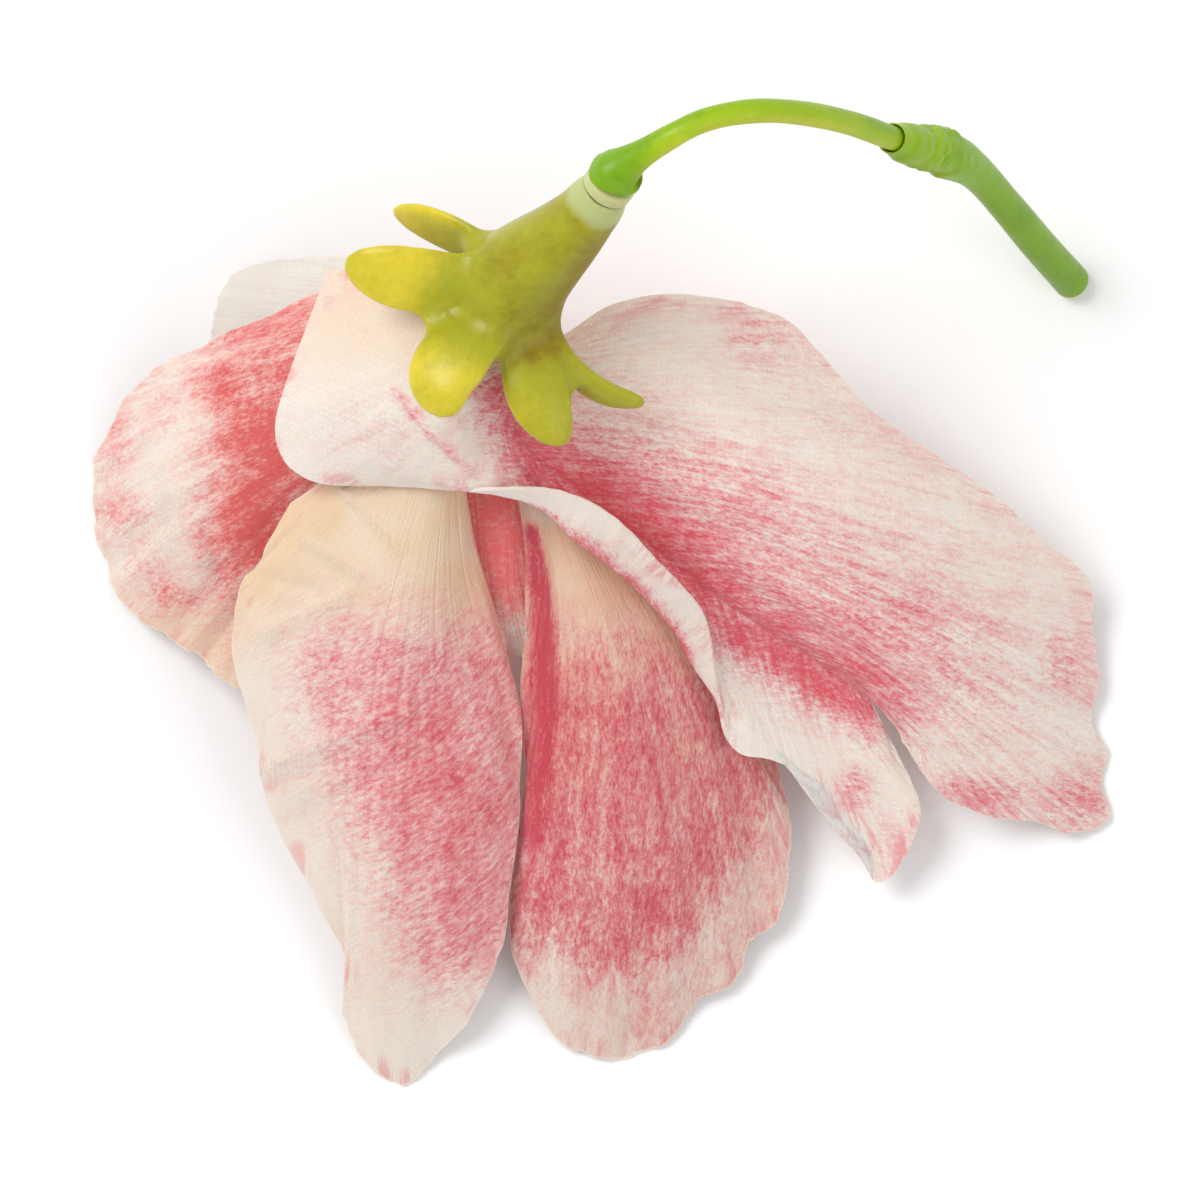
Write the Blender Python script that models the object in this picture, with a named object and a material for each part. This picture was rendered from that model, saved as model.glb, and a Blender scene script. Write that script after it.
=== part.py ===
"""Artificial sweet pea flower, picked with its stalk and laid face down: fabric petals threaded on a
moulded peg, a moulded calyx behind them, and an arched pedicel fused to a stub of the branch."""

import math

import bmesh
import bpy
import numpy as np
from mathutils import Vector

# The design is in millimetres: +X right, +Y towards the calyx end, +Z up from the surface it lies on.
MM = 0.001
ORIGIN = (-0.06, 0.44, 0.39)      # this design point becomes the part's origin

PETAL_THICKNESS = 0.5
GAP = 0.3                          # between pieces that touch

# Calyx and peg share one straight axis, from the pedicel down into the blossom.
NECK_CENTRE = Vector((0.3, 31.0, 40.2))
AXIS = Vector((-0.448, -0.578, -0.682)).normalized()
SIDE = Vector((-AXIS.y, AXIS.x, 0.0)).normalized()      # level, across the axis, to the lower right
UP = AXIS.cross(SIDE)
CLAWS_START = NECK_CENTRE + AXIS * 14.9                 # the petals' claws are measured from here

PEG_RADIUS = 1.25
BORE_RADIUS = PEG_RADIUS + GAP + 0.1    # the fillet step narrows it a little
COLLAR_RADIUS = 1.95
COLLAR_LENGTH = 1.3
SHANK_LENGTH = 22.9                # from the calyx's neck to the head
HEAD_RADIUS = 1.95
CLAW_RADIUS = PEG_RADIUS + GAP + 0.5 * PETAL_THICKNESS + 0.1

# Calyx tube: distance along the axis, outer radius, shift of its centre to the upper left.
CALYX_PROFILE = [(0.0, 1.8, 0.0), (0.4, 2.0, 0.0), (3.0, 2.4, 0.1), (6.8, 3.05, 0.6), (9.0, 3.45, 1.0),
                 (11.5, 3.9, 1.3), (13.4, 4.3, 1.3), (14.2, 4.1, 1.3)]
CALYX_VOXEL = 0.4                  # mm, the grid that fuses tube and sepals
CALYX_FILLET = 0.7                 # mm, radius of the hollow between tube and sepals
CALYX_KEPT_SHARE = 0.17            # of the faces, after thinning out

# Sepals: centre line, direction across the blade, full width, thickness.
SEPALS = [
    ([(-7.6, 24.0, 31.4), (-12.2, 24.3, 32.7), (-16.0, 24.9, 33.0), (-19.2, 25.8, 32.6)],
     (0.10, 0.93, 0.35), 5.3, 1.5),
    ([(-7.0, 25.6, 30.2), (-10.0, 27.5, 29.2), (-12.8, 28.8, 28.0), (-15.6, 29.8, 26.6)],
     (0.22, 0.45, 0.87), 4.6, 1.4),
    ([(-7.4, 22.4, 31.6), (-10.5, 19.5, 33.9), (-11.9, 16.9, 34.7), (-11.6, 14.1, 34.6)],
     (0.90, -0.25, 0.30), 6.0, 1.6),
    ([(-5.4, 21.6, 31.2), (-5.1, 17.9, 32.1), (-4.4, 15.1, 32.0), (-2.7, 12.1, 31.2)],
     (0.96, 0.22, -0.18), 5.1, 1.5),
    ([(-4.4, 21.6, 29.9), (-2.7, 18.3, 29.3), (0.0, 16.1, 28.7), (3.3, 15.2, 28.3)],
     (0.20, 0.25, 0.95), 4.2, 1.5),
]
SEPAL_WIDTHS = [(0.0, 0.86), (0.2, 0.93), (0.45, 1.0), (0.65, 0.94), (0.82, 0.74), (0.93, 0.5), (1.0, 0.2)]

# Pedicel centre line and its radius along the way; it starts at the peg's collar.
PEDICEL_START = NECK_CENTRE - AXIS * (COLLAR_LENGTH + GAP)
PEDICEL_PATH = [PEDICEL_START, NECK_CENTRE - AXIS * 3.1, (5.2, 34.9, 44.5), (8.0, 36.2, 44.4),
                (11.5, 36.85, 43.2), (15.0, 36.8, 40.2), (18.6, 36.2, 35.6), (22.0, 35.15, 30.1),
                (24.45, 34.47, 25.9)]
PEDICEL_RADII = [(0.0, 1.75), (0.03, 1.95), (0.08, 1.95), (0.13, 1.5), (0.18, 1.08), (0.25, 0.95),
                 (0.5, 0.92), (1.0, 0.95)]

# Branch stub: the knuckle swallows the pedicel's end, and the far end is cut square.
STUB_PATH = [(21.9, 35.18, 30.26), (23.6, 34.7, 27.35), (25.8, 34.3, 23.6), (28.4, 33.0, 18.6),
             (31.0, 30.4, 13.0), (33.6, 27.6, 7.2), (36.2, 25.0, 1.27)]
STUB_RADII = [(0.0, 1.42), (0.08, 1.5), (0.18, 1.6), (0.3, 1.8), (0.37, 1.75), (0.5, 1.4), (0.8, 1.38),
              (1.0, 1.42)]
SOCKET_END = 0.26
SOCKET_RADIUS = 0.95 + GAP

# The banner is built from its midrib outwards: places on the midrib run from 0 at the claw to 1 at
# the notch between its lobes. Each half lists its rim and, at some rim points, a rib's inner points.
MIDRIB = [(0.0, (-7.5, 19.8, 30.9)), (0.2, (-7.2, 16.9, 29.2)), (0.35, (-5.8, 12.2, 24.6)),
          (0.52, (1.3, 6.5, 19.6)), (0.7, (9.5, 0.3, 14.9)), (0.87, (16.0, -3.9, 10.8)),
          (1.0, (20.6, -7.0, 8.4))]
BANNER_LEFT = {
    "heights": (0.3, 0.6, 0.82),
    "rim": [(-20.6, 25.5, 23.5), (-22.9, 19.1, 21.5), (-24.6, 12.8, 19.5), (-22.3, 9.8, 20.0),
            (-16.3, 9.1, 22.0), (-10.8, 8.8, 24.0), (-6.0, 8.9, 25.8), (-3.1, 8.6, 26.0),
            (-0.4, 7.6, 25.4), (2.1, 5.7, 24.0), (4.2, 3.4, 22.2), (6.2, 1.4, 20.4),
            (7.7, -0.5, 18.4), (8.4, -2.8, 16.2), (8.9, -6.3, 13.4), (10.0, -10.8, 10.5),
            (13.2, -11.8, 9.0), (17.5, -14.3, 6.5), (20.6, -18.6, 4.2), (21.0, -21.1, 3.2),
            (22.7, -20.3, 3.6), (24.4, -16.2, 4.8), (23.7, -13.2, 5.9), (22.0, -10.0, 7.0)],
    "ribs": {
        0: [(-11.0, 22.6, 30.0), (-15.0, 24.2, 27.8), (-18.0, 25.1, 25.8)],
        2: [(-12.2, 18.5, 29.2), (-17.5, 16.1, 26.8), (-21.3, 14.5, 23.6)],
        4: [(-10.3, 15.2, 28.9), (-13.2, 12.2, 26.8), (-15.0, 10.3, 24.6)],
        6: [(-7.4, 12.6, 25.6), (-6.6, 10.0, 24.4), (-5.6, 7.9, 24.0)],
        8: [(-5.0, 9.6, 23.6), (-3.0, 6.9, 22.8), (-1.7, 5.1, 23.0)],
        10: [(-1.0, 6.6, 20.9), (1.0, 3.9, 19.9), (2.4, 1.9, 19.6)],
        12: [(2.8, 3.8, 18.6), (4.6, 0.6, 17.0), (5.8, -1.9, 16.2)],
        14: [(6.4, 0.6, 16.4), (7.4, -3.2, 14.4), (8.0, -5.8, 13.0)],
        16: [(10.3, -3.2, 13.2), (11.4, -7.0, 11.3), (12.4, -9.8, 10.0)],
        19: [(16.0, -8.5, 9.3), (18.3, -14.2, 6.5), (20.0, -18.4, 4.5)],
        21: [(19.4, -8.7, 8.4), (21.6, -12.4, 6.8), (23.2, -14.8, 5.6)],
        23: [(21.0, -7.9, 8.0), (21.4, -8.7, 7.7), (21.7, -9.4, 7.3)],
    },
}
BANNER_RIGHT = {
    "heights": (0.3, 0.6, 0.82),
    "rim": [(10.6, 23.0, 19.5), (14.0, 21.7, 18.5), (16.3, 19.6, 17.5), (19.0, 16.4, 16.5),
            (21.9, 13.9, 15.0), (27.3, 10.3, 12.0), (31.0, 7.5, 9.5), (34.0, 5.0, 7.0),
            (37.5, 1.8, 4.0), (37.6, -1.4, 2.8), (38.2, -5.0, 2.0), (37.6, -8.4, 1.4),
            (38.9, -11.2, 0.9), (38.4, -13.7, 0.8), (38.8, -16.6, 0.9), (36.5, -17.4, 1.4),
            (33.3, -16.6, 2.8), (29.8, -16.1, 4.2), (26.9, -14.9, 5.6), (24.8, -13.0, 6.9),
            (23.2, -10.4, 8.3)],
    "ribs": {
        0: [(-3.4, 20.2, 25.6), (1.2, 22.9, 23.2), (5.8, 23.6, 21.3)],
        3: [(-0.5, 17.9, 24.2), (7.5, 17.8, 21.8), (13.6, 17.2, 19.2)],
        6: [(2.5, 13.2, 23.2), (13.5, 11.4, 20.3), (22.8, 9.6, 15.6)],
        10: [(9.5, 6.4, 20.3), (20.5, 2.5, 16.3), (30.0, -1.6, 9.2)],
        14: [(16.5, -1.2, 15.5), (25.0, -6.2, 11.6), (32.5, -11.9, 6.0)],
        17: [(19.2, -5.0, 11.6), (23.6, -8.7, 9.8), (27.2, -12.6, 7.0)],
        20: [(21.4, -7.7, 8.8), (22.2, -8.8, 8.8), (22.8, -9.6, 8.6)],
    },
}

# The other petals fan out from a claw on the peg: (mm past the first claws, first and last turn). The
# flare just beyond it is (mm wider, mm further along).
FLARE_HEIGHT = 0.06
FAN_PETALS = {
    "left_wing_petal": {
        "claw": (6.2, 156, 124),
        "flare": (1.0, 0.8),
        "heights": (0.25, 0.5, 0.78),
        "rim": [(-21.2, 23.9, 13.5), (-27.3, 21.2, 10.0), (-32.9, 18.9, 6.5), (-36.6, 15.5, 3.5),
                (-38.8, 11.3, 1.2), (-38.9, 7.8, 0.6), (-38.4, 4.2, 0.8), (-36.9, 0.6, 1.6),
                (-33.5, -2.2, 3.2), (-30.8, -3.9, 4.5), (-28.5, -5.9, 5.5), (-25.5, -6.0, 6.5),
                (-21.5, -2.0, 9.0)],
        "ribs": {
            0: [(-12.6, 22.3, 22.9), (-16.0, 23.6, 18.9), (-18.8, 24.0, 16.0)],
            3: [(-15.5, 20.4, 21.3), (-23.0, 18.6, 16.0), (-30.5, 17.3, 11.0)],
            6: [(-15.5, 17.6, 20.3), (-24.0, 12.8, 15.4), (-32.5, 8.2, 10.5)],
            9: [(-15.3, 15.0, 19.8), (-21.0, 8.0, 14.0), (-26.5, 1.5, 10.0)],
            12: [(-14.4, 14.6, 19.8), (-17.0, 8.8, 14.0), (-19.5, 3.0, 11.0)],
        },
    },
    "back_petal": {
        "claw": (6.6, 210, 174),
        "flare": (1.0, 0.6),
        "heights": (0.25, 0.5, 0.78),
        "rim": [(-14.5, 26.0, 14.0), (-20.0, 26.7, 9.0), (-25.0, 26.4, 3.5), (-28.2, 25.4, 1.2),
                (-29.6, 22.6, 0.7), (-30.2, 18.0, 0.8), (-29.0, 12.0, 1.6), (-25.5, 8.0, 4.0)],
        "ribs": {
            0: [(-10.6, 23.9, 20.8), (-12.2, 25.0, 17.8), (-13.6, 25.8, 15.8)],
            3: [(-13.6, 22.2, 17.8), (-19.5, 23.8, 12.0), (-25.0, 24.8, 6.0)],
            5: [(-14.0, 20.2, 16.8), (-20.5, 19.5, 11.0), (-27.0, 18.6, 5.0)],
            7: [(-13.6, 17.8, 16.0), (-18.5, 13.2, 11.4), (-22.8, 10.0, 8.0)],
        },
    },
    "lower_left_petal": {
        "claw": (3.3, 120, 86),
        "flare": (1.0, 0.9),
        "heights": (0.25, 0.5, 0.78),
        "rim": [(-23.6, 7.8, 15.5), (-25.8, 3.6, 14.0), (-27.3, 1.7, 13.2), (-28.1, -3.2, 11.5),
                (-26.5, -9.9, 9.5), (-24.8, -16.6, 7.5), (-21.7, -22.8, 5.5), (-19.5, -27.6, 3.8),
                (-19.6, -32.0, 2.0), (-17.8, -35.2, 1.0), (-15.2, -36.8, 0.6), (-12.6, -34.6, 1.4),
                (-9.6, -30.6, 3.4), (-7.6, -26.0, 5.4), (-6.9, -20.9, 7.2), (-6.2, -14.1, 9.0),
                (-6.3, -8.7, 10.8), (-7.4, -2.6, 12.8), (-9.2, 3.0, 15.0)],
        "ribs": {
            0: [(-13.3, 15.8, 24.3), (-17.6, 12.2, 20.8), (-20.8, 9.7, 17.3)],
            3: [(-13.8, 13.2, 23.5), (-20.0, 6.5, 18.5), (-25.0, 1.0, 14.5)],
            7: [(-13.2, 11.0, 23.0), (-17.6, -2.5, 17.2), (-19.6, -16.5, 10.5)],
            10: [(-12.4, 10.3, 22.8), (-15.4, -5.0, 17.0), (-15.9, -22.5, 9.5)],
            13: [(-11.6, 10.5, 22.8), (-12.4, -3.5, 16.5), (-9.8, -16.5, 11.0)],
            16: [(-10.8, 11.8, 23.2), (-10.3, 3.5, 17.5), (-8.0, -3.5, 13.6)],
            18: [(-10.2, 13.4, 24.2), (-10.4, 9.6, 20.0), (-9.9, 6.2, 16.8)],
        },
    },
    "lower_right_petal": {
        "claw": (3.3, 62, 5),
        "flare": (1.0, 0.9),
        "heights": (0.25, 0.5, 0.78),
        "rim": [(-5.6, 4.8, 15.5), (-5.4, 2.0, 14.5), (-6.0, -3.6, 12.5), (-6.0, -9.3, 10.0),
                (-5.6, -14.1, 8.0), (-6.9, -22.5, 5.0), (-6.3, -28.0, 3.0), (-3.9, -32.6, 1.6),
                (-0.9, -34.5, 0.8), (2.1, -34.7, 0.6), (4.9, -33.6, 0.8), (7.4, -30.4, 1.4),
                (10.4, -28.6, 1.6), (11.4, -25.6, 2.4), (13.4, -24.6, 2.4), (14.3, -20.3, 3.2),
                (14.4, -16.5, 3.9), (13.6, -12.2, 4.8), (11.5, -6.5, 6.8), (8.0, -1.5, 9.6)],
        "ribs": {
            0: [(-7.7, 13.8, 22.8), (-6.6, 10.0, 19.3), (-5.9, 7.0, 17.0)],
            3: [(-6.6, 12.6, 22.0), (-5.0, 5.5, 17.8), (-4.9, -2.5, 13.5)],
            6: [(-5.4, 11.3, 21.3), (-2.5, -2.0, 16.8), (-4.0, -17.5, 9.3)],
            9: [(-4.6, 10.8, 21.0), (1.0, -4.0, 16.5), (2.6, -21.0, 9.0)],
            12: [(-4.0, 10.8, 20.6), (3.8, -3.5, 14.9), (8.4, -18.0, 7.8)],
            15: [(-3.8, 11.5, 20.6), (4.6, 0.6, 14.4), (11.0, -11.5, 7.4)],
            19: [(-4.8, 13.2, 21.4), (-0.8, 8.4, 17.2), (4.0, 3.0, 13.0)],
        },
    },
    "keel_petal": {
        "claw": (6.9, 235, 305),
        "flare": (1.0, 0.6),
        "heights": (0.3, 0.6, 0.82),
        "rim": [(-13.0, 6.0, 13.9), (-12.5, 1.0, 11.9), (-10.3, -2.6, 10.6), (-7.5, -3.9, 10.2),
                (-5.0, -3.2, 10.4), (-3.0, 0.0, 11.4), (-2.6, 4.5, 13.4)],
        "ribs": {
            0: [(-11.6, 14.6, 18.0), (-12.7, 10.6, 16.2), (-13.1, 8.0, 14.8)],
            3: [(-9.2, 12.6, 17.4), (-8.3, 5.6, 15.0), (-7.8, 0.2, 12.3)],
            6: [(-6.4, 14.2, 18.4), (-4.2, 9.6, 16.4), (-3.1, 6.6, 14.6)],
        },
    },
}


def smooth_through(keys, values, at):
    """A smooth curve through the values placed at the keys, read at the positions in at."""
    keys = np.asarray(keys, float)
    values = np.asarray(values, float)
    at = np.asarray(at, float)
    slopes = np.gradient(values, keys, axis=0)
    span = np.clip(np.searchsorted(keys, at, side="right") - 1, 0, len(keys) - 2)
    width = keys[span + 1] - keys[span]
    t = ((at - keys[span]) / width)[:, None]
    width = width[:, None]
    start, end = values[span], values[span + 1]
    rise, fall = slopes[span] * width, slopes[span + 1] * width
    return (start * (2 * t**3 - 3 * t**2 + 1) + rise * (t**3 - 2 * t**2 + t)
            + end * (3 * t**2 - 2 * t**3) + fall * (t**3 - t**2))


def make_object(name, points, faces, material, smooth_angle=40.0):
    """An object from points in design millimetres; its faces are turned to point outwards."""
    mesh = bpy.data.meshes.new(name)
    shifted = (np.asarray(points, float) - np.asarray(ORIGIN)) * MM
    mesh.from_pydata([tuple(p) for p in shifted], [], faces)
    sheet = bmesh.new()
    sheet.from_mesh(mesh)
    bmesh.ops.recalc_face_normals(sheet, faces=sheet.faces)
    if sheet.calc_volume(signed=True) < 0:
        bmesh.ops.reverse_faces(sheet, faces=sheet.faces)
    sheet.to_mesh(mesh)
    sheet.free()
    mesh.shade_smooth()
    mesh.set_sharp_from_angle(angle=math.radians(smooth_angle))
    mesh.materials.append(material)
    thing = bpy.data.objects.new(name, mesh)
    bpy.context.collection.objects.link(thing)
    return thing


def make_material(name, colour, roughness):
    material = bpy.data.materials.new(name)
    material.use_nodes = True
    shader = material.node_tree.nodes["Principled BSDF"]
    shader.inputs["Base Color"].default_value = (*colour, 1.0)
    shader.inputs["Roughness"].default_value = roughness
    shader.inputs["Metallic"].default_value = 0.0
    return material


def rings_to_faces(ring_count, sides, first=0):
    """Quads between successive rings, and a flat cap on the first and on the last."""
    faces = []
    for ring in range(ring_count - 1):
        low = first + ring * sides
        high = low + sides
        for side in range(sides):
            after = (side + 1) % sides
            faces.append((low + side, low + after, high + after, high + side))
    faces.append(tuple(first + side for side in reversed(range(sides))))
    faces.append(tuple(first + (ring_count - 1) * sides + side for side in range(sides)))
    return faces


def swept_rings(path, stations, sides):
    """Rings of points along a path; a station is (place from 0 to 1, radius)."""
    keys = np.linspace(0.0, 1.0, len(path))
    points = []
    across = None
    for place, radius in stations:
        centre, ahead, behind = smooth_through(keys, path, [place, place + 0.01, place - 0.01])
        forward = Vector(ahead - behind).normalized()
        across = (across or forward.orthogonal()) - forward * forward.dot(across or forward.orthogonal())
        across.normalize()
        upward = forward.cross(across)
        for side in range(sides):
            turn = 2 * math.pi * side / sides
            points.append(Vector(centre) + (across * math.cos(turn) + upward * math.sin(turn)) * radius)
    return points


def turned_on_axis(profile, sides):
    """Rings round the axis; profile is (distance from the neck, radius, shift of the centre)."""
    points = []
    for distance, radius, shift in profile:
        for side in range(sides):
            turn = 2 * math.pi * side / sides
            spoke = SIDE * math.cos(turn) + UP * math.sin(turn)
            points.append(NECK_CENTRE + AXIS * distance - SIDE * shift + spoke * radius)
    return points


def claw_arc(along, radius, first_turn, last_turn, count):
    """Points on an arc round the axis, along mm past the first claws, turns in degrees."""
    centre = CLAWS_START + AXIS * along
    points = []
    for turn in np.radians(np.linspace(first_turn, last_turn, count)):
        points.append(centre + (SIDE * math.cos(turn) + UP * math.sin(turn)) * radius)
    return np.array([tuple(p) for p in points])


def ribs_to_grid(levels, heights, rows):
    """Rows of points that pass smoothly through the given levels, each set at its height from 0 to 1."""
    ribs = np.array(levels)
    flat = smooth_through(heights, ribs.reshape(len(levels), -1), np.linspace(0, 1, rows))
    return flat.reshape(rows, ribs.shape[1], 3)


def fan_petal(petal, columns, rows):
    """A grid of points from the claw on the peg out to the rim, through the petal's hand-set ribs."""
    rim = np.array(petal["rim"], float)
    places = np.linspace(0, len(rim) - 1, columns)
    along, first_turn, last_turn = petal["claw"]
    wider, further = petal["flare"]
    levels = [claw_arc(along, CLAW_RADIUS, first_turn, last_turn, columns),
              claw_arc(along + further, CLAW_RADIUS + wider, first_turn, last_turn, columns)]
    rib_places = sorted(petal["ribs"])
    for level in range(len(petal["heights"])):
        inside = [petal["ribs"][place][level] for place in rib_places]
        levels.append(smooth_through(rib_places, inside, places))
    levels.append(smooth_through(range(len(rim)), rim, places))
    return ribs_to_grid(levels, [0.0, FLARE_HEIGHT, *petal["heights"], 1.0], rows)


def half_banner(half, midrib, columns, rows):
    """A grid from the midrib out to one rim of the banner."""
    rim = np.array(half["rim"], float)
    places = np.linspace(0, len(rim) - 1, columns)
    levels = [midrib]
    rib_places = sorted(half["ribs"])
    for level in range(len(half["heights"])):
        inside = [half["ribs"][place][level] for place in rib_places]
        levels.append(smooth_through(rib_places, inside, places))
    levels.append(smooth_through(range(len(rim)), rim, places))
    return ribs_to_grid(levels, [0.0, *half["heights"], 1.0], rows)


def banner_grid(columns, rows):
    share = np.linspace(0, 1, columns)
    midrib = smooth_through([place for place, _ in MIDRIB], [point for _, point in MIDRIB], share)
    left = half_banner(BANNER_LEFT, midrib, columns, rows)
    right = half_banner(BANNER_RIGHT, midrib, columns, rows)
    return np.concatenate([left[::-1], right[1:]])


def sheet_solid(name, grid, thickness, material):
    """A closed thin solid round a grid of points, half the thickness to each side."""
    rows, columns, _ = grid.shape
    down = np.gradient(grid, axis=0)
    along = np.gradient(grid, axis=1)
    normal = np.cross(down, along)
    normal /= np.linalg.norm(normal, axis=2, keepdims=True)
    upper = (grid + normal * thickness / 2).reshape(-1, 3)
    lower = (grid - normal * thickness / 2).reshape(-1, 3)
    count = rows * columns
    faces = []
    for row in range(rows - 1):
        for column in range(columns - 1):
            a = row * columns + column
            quad = (a, a + 1, a + columns + 1, a + columns)
            faces.append(quad)
            faces.append(tuple(count + corner for corner in reversed(quad)))
    border = ([(0, column) for column in range(columns - 1)]
              + [(row, columns - 1) for row in range(rows - 1)]
              + [(rows - 1, column) for column in range(columns - 1, 0, -1)]
              + [(row, 0) for row in range(rows - 1, 0, -1)])
    corners = [row * columns + column for row, column in border]
    for here, there in zip(corners, corners[1:] + corners[:1]):
        faces.append((there, here, count + here, count + there))
    make_object(name, np.concatenate([upper, lower]), faces, material)


def make_calyx(material):
    """Tube and sepals as overlapping closed shells in one mesh, fused by a fine remesh."""
    sides = 24
    length = CALYX_PROFILE[-1][0]
    profile = CALYX_PROFILE + [(length, BORE_RADIUS, 0.0), (0.0, BORE_RADIUS, 0.0)]
    points = turned_on_axis(profile, sides)
    faces = []
    for ring in range(len(profile)):
        low = ring * sides
        high = (ring + 1) % len(profile) * sides
        for side in range(sides):
            after = (side + 1) % sides
            faces.append((low + side, low + after, high + after, high + side))
    blade_sides = 14
    for path, across, width, thickness in SEPALS:
        first = len(points)
        blade = Vector(across).normalized()
        keys = np.linspace(0.0, 1.0, len(path))
        for place, swell in SEPAL_WIDTHS:
            centre, ahead, behind = smooth_through(keys, path, [place, place + 0.01, place - 0.01])
            forward = Vector(ahead - behind).normalized()
            wide = (blade - forward * forward.dot(blade)).normalized()
            thick = forward.cross(wide)
            for side in range(blade_sides):
                turn = 2 * math.pi * side / blade_sides
                spoke = (wide * math.cos(turn) * width / 2 * swell
                         + thick * math.sin(turn) * thickness / 2 * min(1.0, swell + 0.2))
                points.append(Vector(centre) + spoke)
        faces += rings_to_faces(len(SEPAL_WIDTHS), blade_sides, first)
    thing = make_object("calyx", [tuple(p) for p in points], faces, material)
    for name, offset in (("fuse", CALYX_FILLET), ("fillet", -CALYX_FILLET)):
        fuse = thing.modifiers.new(name, "REMESH")
        fuse.mode = "VOXEL"
        fuse.voxel_size = CALYX_VOXEL * MM
        move = thing.modifiers.new(name + "_offset", "DISPLACE")
        move.mid_level = 0.0
        move.strength = offset * MM
    thin = thing.modifiers.new("thin_out", "DECIMATE")
    thin.ratio = CALYX_KEPT_SHARE


def make_peg(material):
    """Collar behind the calyx, shank through its bore, and a flattened head that holds the petals."""
    collar = [(-COLLAR_LENGTH, COLLAR_RADIUS - 0.25), (0.25 - COLLAR_LENGTH, COLLAR_RADIUS),
              (-GAP - 0.15, COLLAR_RADIUS), (-GAP, COLLAR_RADIUS - 0.15)]
    shank = [(-GAP, PEG_RADIUS), (SHANK_LENGTH, PEG_RADIUS)]
    head = [(SHANK_LENGTH + 0.1, HEAD_RADIUS - 0.2), (SHANK_LENGTH + 0.5, HEAD_RADIUS),
            (SHANK_LENGTH + 1.0, HEAD_RADIUS - 0.3), (SHANK_LENGTH + 1.3, HEAD_RADIUS - 1.0)]
    profile = [(distance, radius, 0.0) for distance, radius in collar + shank + head]
    sides = 20
    points = turned_on_axis(profile, sides)
    make_object("peg", [tuple(p) for p in points], rings_to_faces(len(profile), sides), material)


def radii_at(table, places):
    return smooth_through([place for place, _ in table], [(radius,) for _, radius in table], places)[:, 0]


def make_pedicel(material):
    places = np.linspace(0.0, 1.0, 40)
    stations = list(zip(places, radii_at(PEDICEL_RADII, places)))
    sides = 12
    points = swept_rings(PEDICEL_PATH, stations, sides)
    make_object("pedicel", [tuple(p) for p in points], rings_to_faces(len(stations), sides), material)


def make_stub(material):
    """The knuckle's socket is a blind hole round the pedicel's end; the other end is a flat cut."""
    places = np.linspace(0.0, 1.0, 20)
    socket_places = np.linspace(SOCKET_END, 0.0, 6)
    stations = [(place, SOCKET_RADIUS) for place in socket_places]
    stations += list(zip(places, radii_at(STUB_RADII, places)))
    sides = 14
    points = swept_rings(STUB_PATH, stations, sides)
    make_object("branch_stub", [tuple(p) for p in points], rings_to_faces(len(stations), sides), material)


def main():
    for thing in list(bpy.data.objects):
        bpy.data.objects.remove(thing, do_unlink=True)
    petal_colours = {
        "banner_petal": (0.80, 0.42, 0.42), "left_wing_petal": (0.78, 0.30, 0.32),
        "back_petal": (0.86, 0.74, 0.62), "lower_left_petal": (0.80, 0.45, 0.46),
        "lower_right_petal": (0.75, 0.32, 0.36), "keel_petal": (0.76, 0.32, 0.34),
    }
    fabric = {name: make_material(name, colour, 0.85) for name, colour in petal_colours.items()}
    sheet_solid("banner_petal", banner_grid(41, 7), PETAL_THICKNESS, fabric["banner_petal"])
    for name, petal in FAN_PETALS.items():
        sheet_solid(name, fan_petal(petal, 19, 11), PETAL_THICKNESS, fabric[name])
    make_calyx(make_material("calyx", (0.55, 0.52, 0.05), 0.45))
    make_peg(make_material("peg", (0.80, 0.85, 0.66), 0.35))
    make_pedicel(make_material("pedicel", (0.35, 0.52, 0.05), 0.4))
    make_stub(make_material("branch_stub", (0.20, 0.42, 0.03), 0.45))


main()
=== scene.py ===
"""Looks of the artificial sweet pea flower: fabric petals, moulded calyx, plastic coated stalk."""

import math

import bmesh
import bpy
import numpy as np
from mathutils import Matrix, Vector, noise


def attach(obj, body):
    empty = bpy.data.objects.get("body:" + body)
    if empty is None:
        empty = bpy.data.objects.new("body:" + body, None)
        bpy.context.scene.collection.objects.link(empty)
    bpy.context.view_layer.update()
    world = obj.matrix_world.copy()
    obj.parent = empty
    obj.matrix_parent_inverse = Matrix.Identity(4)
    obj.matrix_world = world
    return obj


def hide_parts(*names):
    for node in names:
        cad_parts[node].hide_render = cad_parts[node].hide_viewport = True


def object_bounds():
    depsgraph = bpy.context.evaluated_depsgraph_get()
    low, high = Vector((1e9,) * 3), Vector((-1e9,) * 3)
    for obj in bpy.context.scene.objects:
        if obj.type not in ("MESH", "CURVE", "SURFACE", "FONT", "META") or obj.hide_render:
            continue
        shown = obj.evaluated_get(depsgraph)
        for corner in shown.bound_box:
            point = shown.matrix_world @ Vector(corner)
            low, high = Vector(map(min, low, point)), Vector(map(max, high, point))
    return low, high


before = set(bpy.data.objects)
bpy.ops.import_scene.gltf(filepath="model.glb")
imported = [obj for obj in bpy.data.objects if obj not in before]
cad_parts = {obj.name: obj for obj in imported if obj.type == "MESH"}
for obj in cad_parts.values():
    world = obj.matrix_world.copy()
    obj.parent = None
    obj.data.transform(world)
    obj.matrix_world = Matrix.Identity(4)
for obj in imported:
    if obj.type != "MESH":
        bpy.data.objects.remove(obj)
cad_low, cad_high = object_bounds()

# Sizes are in design millimetres, as in the CAD source: +Z up from the surface that the flower lies on.
MM = 0.001
ORIGIN = (-0.06, 0.44, 0.39)  # the frame's origin in the design
GAP = 0.3
PLAY = 0.1
CLOTH_THICKNESS = 0.28
CAD_THICKNESS = 0.5
FLOOR_CLEARANCE = 0.03
WEAVE_PITCH = 0.30
SMOOTH_ANGLE = math.radians(50.0)

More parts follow.
